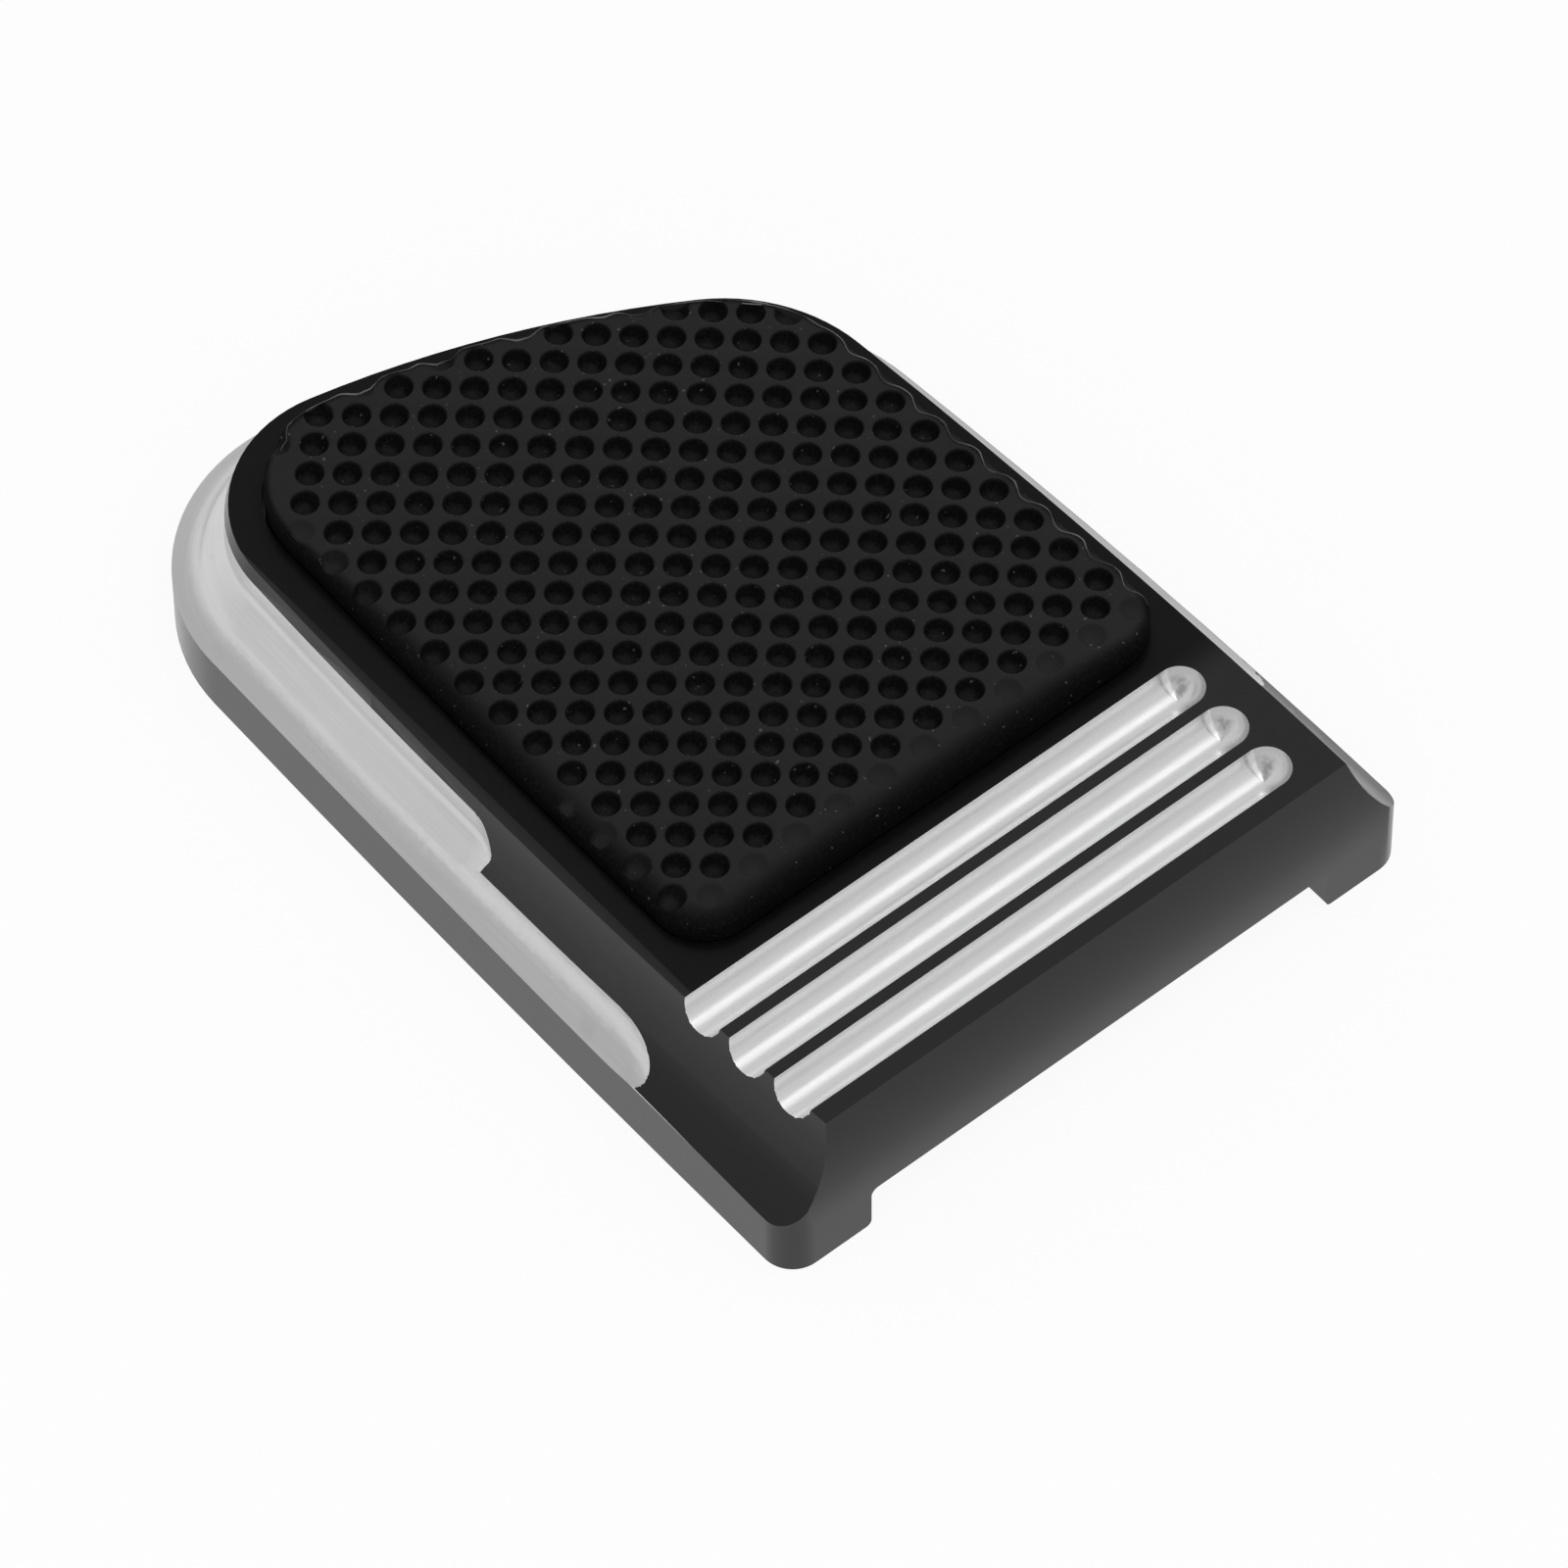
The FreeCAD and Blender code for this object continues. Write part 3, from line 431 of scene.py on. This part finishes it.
def milled():
    silver = Finish("milledSilver")
    place = (silver.stored("inset"), silver.stored("along") * billet["streakAlong"], silver.axis(2))
    streak = silver.grain(*billet["silverStreak"], silver.put("ShaderNodeCombineXYZ", {}, place))
    cloud = silver.grain(*billet["silverCloud"])
    fine = silver.grain(*billet["silverFine"])
    stain = silver.grain(*billet["silverStain"]).rise(0.56, 0.72) * 0.5
    colour = silver.mix(streak.rise(0.32, 0.7), toned(billet["silver"], 0.965), toned(billet["silver"], 1.03))
    colour = silver.mix(stain, colour, toned(billet["silver"], 0.88))
    rough = billet["silverRough"] + (streak - 0.5) * 0.06 + (cloud - 0.5) * 0.1
    relief = silver.bump(streak, 0.00002, 0.15, silver.bump(fine, 0.00001, 0.3))
    return silver.wear(silver.skin(Base_Color=colour, Metallic=1.0, Roughness=rough, Normal=relief))


def polished():
    bright = Finish("grooveSilver")
    plain = billet["grooveSilver"]
    streak = bright.grain(*billet["grooveStreak"], bright.place((0.02, 1, 1)))
    cloud = bright.grain(*billet["grooveCloud"])
    colour = bright.mix(streak.rise(0.3, 0.72), toned(plain, 0.93), plain)
    half = billet["groovePitch"] / 2
    row = bright.sum("WRAP", bright.axis(1) - billet["grooveY"], half, -half)
    beyond = bright.axis(0) - (billet["grooveEnd"] - ballEndReflections["back"])
    angle = bright.sum("ARCTAN2", row, beyond)    # 0 towards the end, 1.57 towards the tread
    ball = (beyond > 0.0) * (1 - (beyond * beyond + row * row).rise(*ballEndReflections["reach"]))
    edge = angle.near(*ballEndReflections["edge"]) * (row > ballEndReflections["edgeBeyond"]) * ballEndReflections["edgeShare"]
    fan = (angle.near(*ballEndReflections["fan"]) * ball).most(edge)
    fan = fan * (0.45 + bright.grain(*ballEndReflections["grain"]).rise(0.35, 0.65) * 0.55)
    line = angle.near(*ballEndReflections["line"]) * (row > ballEndReflections["lineBeyond"])
    # painted reflection: the fan and edge patches darken the colour, and the line paints a white highlight
    colour = bright.mix(fan * ballEndReflections["darkReflectionShare"], colour, toned(plain, ballEndReflections["dark"]))
    colour = bright.mix(line, colour, (1.0, 1.0, 1.0))
    rough = billet["grooveRough"] + (streak - 0.5) * 0.1 + (cloud - 0.5) * 0.06 - line * 0.1
    relief = bright.bump(streak, 0.00001, 0.3)
    return bright.wear(bright.skin(Base_Color=colour, Metallic=1.0, Roughness=rough, Normal=relief))


# inset and z of the centre of the cove's arc
def coveCentre():
    low, high = np.array(billet["coveLow"]), np.array(billet["coveHigh"])
    chord = high - low
    length = np.linalg.norm(chord)
    rise = math.sqrt(billet["coveRadius"] ** 2 - length ** 2 / 4)
    return (low + high) / 2 + np.array((-chord[1], chord[0])) / length * rise


# which finish each face has: 0 anodised, 1 milled scallop, 2 polished groove
def cutOf(middle, normal):
    x, y, z = middle.T
    inset = insetAlong(cutterLine, middle[:, :2])[0]
    centre = coveCentre()
    lowZ = billet["coveLow"][1]
    deep = np.hypot(inset - centre[0], z - centre[1]) - billet["coveRadius"]
    flatLip = (normal[:, 2] > 0.99) & (z < lowZ + billet["lipSlack"]) & (y < billet["lipBehind"])
    bowl = (deep > billet["scallopSlack"]) & (inset < billet["scallopDeep"]) & (y > billet["scallopFront"])
    underTop = z < billet["underTop"]
    kind = np.where(bowl & (z > lowZ) & underTop & ~flatLip, 1, 0)
    for i in range(billet["grooves"]):
        fromAxis = np.hypot(y - (billet["grooveY"] - i * billet["groovePitch"]), z - billet["grooveZ"])
        beyond = np.maximum(x - billet["grooveEnd"], 0)
        kind[(np.hypot(fromAxis, beyond) < billet["grooveRadius"] + billet["grooveSlack"]) & underTop] = 2
    return kind


# each corner takes the mean normal of the faces round it that lean nearly the same way
def shade(mesh, normal, limit):
    corner = np.empty(len(mesh.loops), int)
    mesh.loops.foreach_get("vertex_index", corner)
    face = np.repeat(np.arange(len(mesh.polygons)), [polygon.loop_total for polygon in mesh.polygons])
    area = np.array([polygon.area for polygon in mesh.polygons])
    result = normal[face].copy()
    order = np.argsort(corner, kind="stable")
    for group in np.split(order, np.flatnonzero(np.diff(corner[order])) + 1):
        around = normal[face[group]]
        total = ((around @ around.T > limit) * area[face[group]]) @ around
        size = np.linalg.norm(total, axis=1)
        result[group[size > 0]] = total[size > 0] / size[size > 0, None]
    mesh.normals_split_custom_set(result.tolist())


def makeBillet():
    made = bmesh.new()
    made.from_mesh(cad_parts["pad_body"].data)
    bmesh.ops.remove_doubles(made, verts=made.verts, dist=billet["weld"])
    bmesh.ops.dissolve_degenerate(made, edges=made.edges, dist=billet["sliver"])
    mesh = bpy.data.meshes.new("billet")
    made.to_mesh(mesh)
    made.free()
    mesh.materials.clear()
    for finish in (anodised(), milled(), polished()):
        mesh.materials.append(finish)
    normal = readOut(mesh.polygons, "normal")
    kind = cutOf(readOut(mesh.polygons, "center") / mm, normal)
    mesh.polygons.foreach_set("material_index", kind)
    mesh.polygons.foreach_set("use_smooth", [True] * len(kind))
    inset, along, arc = insetAlong(cutterLine, (readOut(mesh.vertices, "co") / mm)[:, :2])
    store(mesh, "inset", inset)
    store(mesh, "along", along)
    shade(mesh, normal, math.cos(math.radians(billet["sharp"])))
    piece = bpy.data.objects.new("billet", mesh)
    bpy.context.scene.collection.objects.link(piece)
    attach(piece, "root")
    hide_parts("pad_body")
    cut = np.bincount(kind, minlength=3)
    print("billet ready:", len(kind), "faces,", cut[1], "milled,", cut[2], "in grooves")


makeBillet()

# rubber tread with moulded dimples, one moulding with its six plugs
tread = {
    "black": (0.0026, 0.0026, 0.0027),
    "rough": 0.62,
    "ior": 1.40,
    "cloud": (300.0, 4.0),    # scale and detail of the noise
    "fine": (4200.0, 3.0, 0.65),
    "fibre": (2600.0, 2.0, 0.6),
    "speck": (1700.0, 1.0, 0.5),
    # painted shade inside the dimples: a dark, low-reflecting copy of the rubber, with dark walls and a
    # lighter spot on the floor where light falls
    "pitLitFloor": (0.0150, 0.0150, 0.0152),
    "pitShadedWall": (0.0018, 0.0018, 0.0019),
    "pitRough": 0.8,
    "pitIor": 1.15,
    "dust": (0.10, 0.10, 0.10),
    # painted light: the lighter spot in each dimple sits this far from its centre
    "litSpotOffset": (-0.40, -0.15),    # from a dimple's centre
    "inset": 9.95,
    "frontY": -30.75,
    "corner": 5.75,
    "cornerLeast": 0.4,
    "baseZ": 16.4,
    "rimZ": 18.6,
    "neckZ": 19.6,
    "topZ": 22.0,
    "crown": 520.0,
    "shoulder": (0.45, 2.25),    # how wide, and how much wider where it is worn
    "shoulderTall": (0.45, 0.8),
    "worn": (-8.0, 14.0),    # the wear grows from the rear right to the front left
    # painted shade: towards its edge the top takes the dimples' painted shade, for the shade on its rolled
    # shoulder
    "paintedEdgeShade": (0.1, 0.9, 2.4),    # how far the edge has the dimples' tone, wider where it is worn
    "steep": 0.35,
    "sharp": 50.0,    # degrees
    "dimpleRadius": 1.5,
    "dimpleDepth": 1.15,
    "dimpleBowl": (0.88, 0.62),    # the bowl's share of the depth and its power
    "dimpleRim": (0.12, 0.035),    # the steep rim's share of the depth and its width
    "dimpleRings": (0.0, 0.3, 0.6, 0.85, 1.05, 1.2, 1.32, 1.42, 1.5, 1.57, 1.66),
    "dimpleClear": 1.72,
    "latticeX": (2.7773, -0.1150, -8.147),    # from the column, from the row, and where they start
    "latticeY": (0.0035, 2.5820, 1.141),
    "columns": (-12, 18),
    "rows": (-16, 22),
    "fadeFront": (2.8, 5.0),    # distances from the edge at which dimples start and are whole
    "fadeLeft": (0.7, 2.1),
    "fadeRear": (-1.5, -1.0),
    "leftOf": -25.5,
    "cutBy": (-1.3, 0.55),    # the edge cuts the dimples whose centres are this far inside it
    "whole": (-0.5, 1.0),
    "fillRings": (0.55, 0.8, 1.1, 1.5, 2.0, 2.6),
    "fillFrom": 2.9,
    "plugs": {"x": 20.0, "y": (-22.0, -4.0, 14.0), "stem": 3.0, "head": 4.6, "low": 6.5, "under": 8.1},
    "plugSides": 40,
}


# the tread's outline, drawn in by extra
def treadRing(extra, step=0.5):
    inset = tread["inset"] + extra
    corner = max(tread["corner"] - extra, tread["cornerLeast"])
    y = tread["frontY"] + extra
    centres = arcCentres(treadLine)
    r = [value - inset for value in treadLine["radii"]]
    leftX = centres[0][0] - math.sqrt((r[0] - corner) ** 2 - (y + corner - centres[0][1]) ** 2)
    rightX = centres[4][0] + math.sqrt((r[4] - corner) ** 2 - (y + corner - centres[4][1]) ** 2)
    footL, footR = np.array((leftX, y + corner)), np.array((rightX, y + corner))
    joins = [np.array((0.0, -1.0)), unit(footL - centres[0]), unit(centres[1] - centres[0]),
             unit(centres[1] - centres[2]), unit(centres[3] - centres[2]), unit(centres[3] - centres[4]),
             unit(footR - centres[4]), np.array((0.0, -1.0))]
    arcs = zip([footL, *centres, footR], [corner, *r, corner], joins[:-1], joins[1:])
    points = []
    for centre, radius, a, b in arcs:
        angle = math.atan2(-turns(a, b), a @ b)
        count = max(2, int(round((radius + extra) * angle / step)))
        for i in range(count):
            t = -angle * i / count
            points.append(centre + radius * np.array((a[0] * math.cos(t) - a[1] * math.sin(t),
                                                      a[0] * math.sin(t) + a[1] * math.cos(t))))
    start, end = np.array((rightX, y)), np.array((leftX, y))
    count = int(round((rightX - leftX) / step))
    points += [start + (end - start) * i / count for i in range(count)]
    return np.array(points)


# a ring drawn in to the rubber's outline inside the recess
def seatRing(ring):
    inset, along, arc = insetAlong(seatLine, ring)
    toCentre = np.array(arcCentres(seatLine))[arc] - ring
    toCentre /= np.linalg.norm(toCentre, axis=1)[:, None]
    return ring + toCentre * np.clip(tread["inset"] - inset, 0, None)[:, None]


def latticePoint(column, row):
    ax, bx, cx = tread["latticeX"]
    ay, by, cy = tread["latticeY"]
    return ax * column + bx * row + cx, ay * column + by * row + cy


# every second point of the lattice has a dimple
def dimpleCentres():
    return np.array([latticePoint(i, j) for i in range(*tread["columns"]) for j in range(*tread["rows"])
                     if (i + j) % 2 == 0])


# how far points lie inside the tread's edge
def insideTread(points):
    inset = insetAlong(treadLine, points)[0] - tread["inset"]
    front = points[:, 1] - tread["frontY"]
    corner = tread["corner"]
    both = (inset < corner) & (front < corner)
    return np.where(both, corner - np.hypot(corner - inset, corner - front), np.minimum(inset, front))


def eased(value, low, high):
    t = np.clip((value - low) / (high - low), 0, 1)
    return t * t * (3 - 2 * t)


def wornAt(points):
    return eased(-0.7 * points[:, 0] - 0.7 * points[:, 1], *tread["worn"])


# the mould is worn near the front and the left edge, so the dimples fade out there
def dimpleShare(centres):
    inset, along, arc = insetAlong(treadLine, centres)
    side = inset - tread["inset"]
    front = centres[:, 1] - tread["frontY"]
    onLeft = (arc == 0) | (centres[:, 0] < tread["leftOf"])
    share = np.where(onLeft, eased(side, *tread["fadeLeft"]), eased(side, *tread["fadeRear"]))
    return share * eased(front, *tread["fadeFront"])


# height of the crowned top with its shoulder, before the dimples
def crownAt(points):
    depth = np.clip(insideTread(points), 0, None)
    narrow, more = tread["shoulder"]
    low, lower = tread["shoulderTall"]
    worn = wornAt(points)
    t = np.clip(1 - depth / (narrow + more * worn), 0, 1)
    crowned = tread["topZ"] - (tread["crown"] - np.sqrt(tread["crown"] ** 2 - points[:, 0] ** 2))
    return crowned - (low + lower * worn) * (1 - np.sqrt(1 - t ** 2))


# how deep the dimples are at points, how far these are in one (its share of painted shade), and how far from
# its painted lit spot
def dimpleShape(points, centres, share):
    drop, pit, far = np.zeros(len(points)), np.zeros(len(points)), np.zeros(len(points))
    radius = tread["dimpleRadius"]
    reach = radius * 1.3
    bowlShare, bowlPower = tread["dimpleBowl"]
    rimShare, rimWide = tread["dimpleRim"]
    litSpotX, litSpotY = tread["litSpotOffset"]
    whole = eased(insideTread(centres), *tread["whole"])    # those that the edge cuts are shallower and paler
    for (cx, cy), part, full in zip(centres, share, whole):
        ids = np.nonzero((np.abs(points[:, 0] - cx) < reach) & (np.abs(points[:, 1] - cy) < reach))[0]
        if not len(ids):
            continue
        r = np.hypot(points[ids, 0] - cx, points[ids, 1] - cy) / radius
        bowl = np.clip(1 - r ** 2, 0, None) ** bowlPower
        rim = 1 / (1 + np.exp((r - 1) / rimWide)) * rimShare
        deep = part * tread["dimpleDepth"] * (0.5 + 0.5 * full)
        drop[ids] = np.maximum(drop[ids], deep * (bowl * bowlShare + rim))
        mark = part * (0.3 + 0.7 * full) * (1 - eased(r, 0.96, 1.06))
        aside = np.hypot(points[ids, 0] - cx - litSpotX, points[ids, 1] - cy - litSpotY) / radius
        far[ids] = np.where(mark > pit[ids], aside, far[ids])
        pit[ids] = np.maximum(pit[ids], mark)
    return drop, pit, far


def rubber():
    black = Finish("treadRubber")
    cloud = black.grain(*tread["cloud"])
    fine = black.grain(*tread["fine"])
    fibre = black.grain(*tread["fibre"])
    speck = black.grain(*tread["speck"]).rise(0.74, 0.78)
    colour = black.mix(cloud.rise(0.3, 0.7), toned(tread["black"], 0.8), toned(tread["black"], 1.25))
    colour = black.mix(speck * 0.6, colour, tread["dust"])
    rough = tread["rough"] + (fine - 0.5) * 0.15 + (cloud - 0.5) * 0.06
    relief = black.bump(fine, 0.00004, 0.5)
    land = black.skin(Base_Color=colour, Roughness=rough, Normal=relief, IOR=tread["ior"])
    # painted shade and light: the dimple walls darken away from the lit spot on the floor
    pitShading = black.stored("far").rise(0.25, 0.92) * 0.85 + fibre.rise(0.35, 0.65) * 0.3
    inner = black.mix(pitShading.least(1.0), tread["pitLitFloor"], tread["pitShadedWall"])
    inner = black.mix(speck * 0.5, inner, tread["dust"])
    relief = black.bump(fibre, 0.00006, 0.5)
    bowl = black.skin(Base_Color=inner, Roughness=tread["pitRough"], Normal=relief, IOR=tread["pitIor"])
    # pit mixes in the painted-shade copy inside the dimples and towards the top's edge
    return black.wear(black.blend(black.stored("pit"), land, bowl))


# each plug is a stem with a rounded head, from the tread's underside down
def addPlugs(verts, faces, count):
    plugs = tread["plugs"]
    stem, head, low, under = [plugs[key] for key in ("stem", "head", "low", "under")]
    rings = [(stem, tread["baseZ"]), (stem, under), (head - 0.2, under), (head, under - 0.2),
             (head, low + 0.5), (head - 0.15, low + 0.2), (head - 0.5, low), (head * 0.5, low)]
    sides = tread["plugSides"]
    a = np.arange(sides) / sides * 2 * math.pi
    for x in (-plugs["x"], plugs["x"]):
        for y in plugs["y"]:
            for radius, z in rings:
                verts.append(np.c_[x + radius * np.cos(a), y + radius * np.sin(a), np.full(sides, z)])
            last = count + (len(rings) - 1) * sides
            for here in range(count, last, sides):
                faces += [(here + i, here + (i + 1) % sides, here + sides + (i + 1) % sides, here + sides + i)
                          for i in range(sides)]
            faces.append(tuple(last + i for i in range(sides)))
            faces.append(tuple(count + sides - 1 - i for i in range(sides)))
            count = last + sides


# points of the top: rings round each dimple, rings along the edge and a coarse fill between them
def topPoints(centres):
    scatter = []
    for cx, cy in centres:
        for k, radius in enumerate(tread["dimpleRings"]):
            count = 1 if k == 0 else int(10 + 14 * radius / tread["dimpleRadius"])
            a = np.arange(count) / count * 2 * math.pi + k * 0.37
            scatter.append(np.c_[cx + radius * np.cos(a), cy + radius * np.sin(a)])
    halfColumns, halfRows = [range(2 * low, 2 * high + 2) for low, high in (tread["columns"], tread["rows"])]
    fill = np.array([latticePoint(i / 2, j / 2) for i in halfColumns for j in halfRows])
    fill = fill[insideTread(fill) > tread["fillFrom"]]
    fill = np.vstack([treadRing(extra) for extra in tread["fillRings"]] + [fill])
    clear = np.ones(len(fill), bool)
    for centre in centres:
        clear &= np.hypot(*(fill - centre).T) > tread["dimpleClear"]
    loose = np.vstack(scatter + [fill[clear]])
    return loose[insideTread(loose) > tread["steep"] + 0.1]


def makeTread():
    centres = dimpleCentres()
    centres = centres[insideTread(centres) > tread["cutBy"][0]]
    share = dimpleShare(centres)
    centres, share = centres[share > 0.03], share[share > 0.03]
    rings = [treadRing(tread["steep"] * (k / 4) ** 2) for k in range(5)]
    n = len(rings[-1])
    points = [Vector(p) for p in np.vstack([rings[-1], topPoints(centres)])]
    result = delaunay_2d_cdt(points, [], [list(range(n))], 1, 1e-7)
    flat = np.array([tuple(p) for p in result[0]])
    faces = [tuple(f) for f in result[2]]
    drop, pit, far = dimpleShape(flat, centres, share)
    verts = [np.c_[flat, crownAt(flat) - drop]]
    count = len(flat)
    original = {old: new for new, olds in enumerate(result[3]) for old in olds}
    previous = [original[i] for i in range(n)]
    # the side, ring by ring from the top's edge down to the foot in the recess
    seat = seatRing(rings[0])
    side = [(ring, crownAt(ring) - dimpleShape(ring, centres, share)[0]) for ring in rings[-2::-1]]
    side += [(rings[0], np.full(n, tread["neckZ"])), (seat, np.full(n, tread["rimZ"])),
             (seat, np.full(n, tread["baseZ"]))]
    for ring, level in side:
        verts.append(np.c_[ring, level])
        now = list(range(count, count + n))
        faces += [(previous[i], now[i], now[(i + 1) % n], previous[(i + 1) % n]) for i in range(n)]
        previous = now
        count += n
    faces.append(tuple(reversed(previous)))
    addPlugs(verts, faces, count)
    verts = np.vstack(verts)
    piece = makePiece("treadRubber", verts, faces, rubber())
    # painted shade towards the top's edge, stored together with the dimples' share
    start, end, wider = tread["paintedEdgeShade"]
    edge = 1 - eased(insideTread(flat), start, end + wider * wornAt(flat))
    rest = np.ones(len(verts) - len(flat))
    store(piece.data, "pit", np.r_[np.maximum(pit, edge), rest])
    store(piece.data, "far", np.r_[np.where(pit > 0.01, far, 1.0), rest])
    piece.data.set_sharp_from_angle(angle=math.radians(tread["sharp"]))
    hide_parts("rubber_tread")
    print("tread ready:", len(verts), "points,", len(faces), "faces,", len(centres), "dimples")


makeTread()

# thin moulding flash that stands along the rear and right top edges
flash = {
    "dark": (0.010, 0.010, 0.010),
    "pale": (0.15, 0.15, 0.15),
    "cloud": (230.0, 4.0),
    "rough": 0.5,
    "ior": 1.4,
    "step": 0.25,
    "rightOf": -25.0,
    "frontGap": 3.0,
    "depths": (0.16, 1.16, 0.04),    # least, most and step of its distance from the edge
    "depthLeast": 0.12,
    "skirts": 1.62,    # it stays this far from the centres of the dimples that the edge cuts
    "smooth": 3,    # stations on each side
    "waves": (0.5, 0.9, 1.7, 4.0),
    "wobble": 0.02,
    "lift": 0.02,
    "radius": 0.11,
    "taper": 6.0,
    "sides": 6,
}


def flashFinish():
    pale = Finish("rubberFlash")
    cloud = pale.grain(*flash["cloud"])
    colour = pale.mix(cloud.rise(0.36, 0.68), flash["dark"], flash["pale"])
    relief = pale.bump(cloud, 0.00003, 0.5)
    return pale.wear(pale.skin(Base_Color=colour, Roughness=flash["rough"], Normal=relief, IOR=flash["ior"]))


# how far in from the edge it runs at each station, round the dimples that the edge cuts
def flashDepth(line, inward):
    centres = dimpleCentres()
    side = insideTread(centres)
    outer, inner = tread["cutBy"]
    centres = centres[(side > outer) & (side < inner)]
    depth = np.full(len(line), flash["depths"][0])
    for t in np.arange(*flash["depths"]):
        point = line + inward * t
        gap = np.hypot(point[:, 0, None] - centres[:, 0], point[:, 1, None] - centres[:, 1]).min(axis=1)
        depth[gap < flash["skirts"]] = t
    width = 2 * flash["smooth"] + 1
    return np.convolve(np.pad(depth, flash["smooth"], mode="edge"), np.ones(width) / width, mode="valid")


def makeFlash():
    ring = treadRing(0.0, flash["step"])
    inset, along, arc = insetAlong(treadLine, ring)
    behind = ring[:, 1] > tread["frontY"] + flash["frontGap"]
    keep = np.nonzero((arc > 0) & (ring[:, 0] > flash["rightOf"]) & behind)[0]
    keep = keep[np.argsort(along[keep])]
    s = along[keep] - along[keep[0]]
    line = ring[keep]
    tangent = np.gradient(line, axis=0)
    tangent /= np.linalg.norm(tangent, axis=1)[:, None]
    inward = np.c_[tangent[:, 1], -tangent[:, 0]]
    wobble = sum(random.normal() * np.sin(s / wave + random.uniform(0, 6.3)) for wave in flash["waves"])
    depth = flashDepth(line, inward) + flash["wobble"] * wobble
    path = line + inward * np.clip(depth, flash["depthLeast"], None)[:, None]
    z = crownAt(path) + flash["lift"]
    ends = eased(s, 0, flash["taper"]) * eased(s[-1] - s, 0, flash["taper"])
    uneven = 0.7 + 0.35 * np.sin(s / 3.3) * np.sin(s / 1.1 + 1)
    radius = flash["radius"] * uneven * (0.3 + 0.7 * ends)
    sides = flash["sides"]
    a = np.arange(sides) / sides * 2 * math.pi
    verts, faces = [], []
    for i in range(len(path)):
        plan = path[i] + inward[i] * np.cos(a)[:, None] * radius[i]
        verts.append(np.c_[plan, z[i] + np.sin(a) * radius[i]])
    last = (len(path) - 1) * sides
    for here in range(0, last, sides):
        faces += [(here + k, here + sides + k, here + sides + (k + 1) % sides, here + (k + 1) % sides)
                  for k in range(sides)]
    faces += [tuple(range(sides)), tuple(reversed(range(last, last + sides)))]
    makePiece("treadFlash", np.vstack(verts), faces, flashFinish())
    print("flash ready:", len(path), "stations")


makeFlash()

# the three grub screws keep their CAD shape and get a finish
screw = {
    "nodes": ("set_screw_front", "set_screw_middle", "set_screw_rear"),
    "steel": (0.07, 0.07, 0.075),
    "rough": 0.38,
    "cloud": (900.0, 3.0),
}


def makeScrews():
    steel = Finish("screwSteel")
    cloud = steel.grain(*screw["cloud"])
    colour = steel.mix(cloud.rise(0.3, 0.7), toned(screw["steel"], 0.8), toned(screw["steel"], 1.3))
    rough = screw["rough"] + (cloud - 0.5) * 0.2
    relief = steel.bump(cloud, 0.00002, 0.4)
    finish = steel.wear(steel.skin(Base_Color=colour, Metallic=1.0, Roughness=rough, Normal=relief))
    for name in screw["nodes"]:
        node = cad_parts[name]
        node.data.materials.clear()
        node.data.materials.append(finish)
    print("screws ready")


makeScrews()
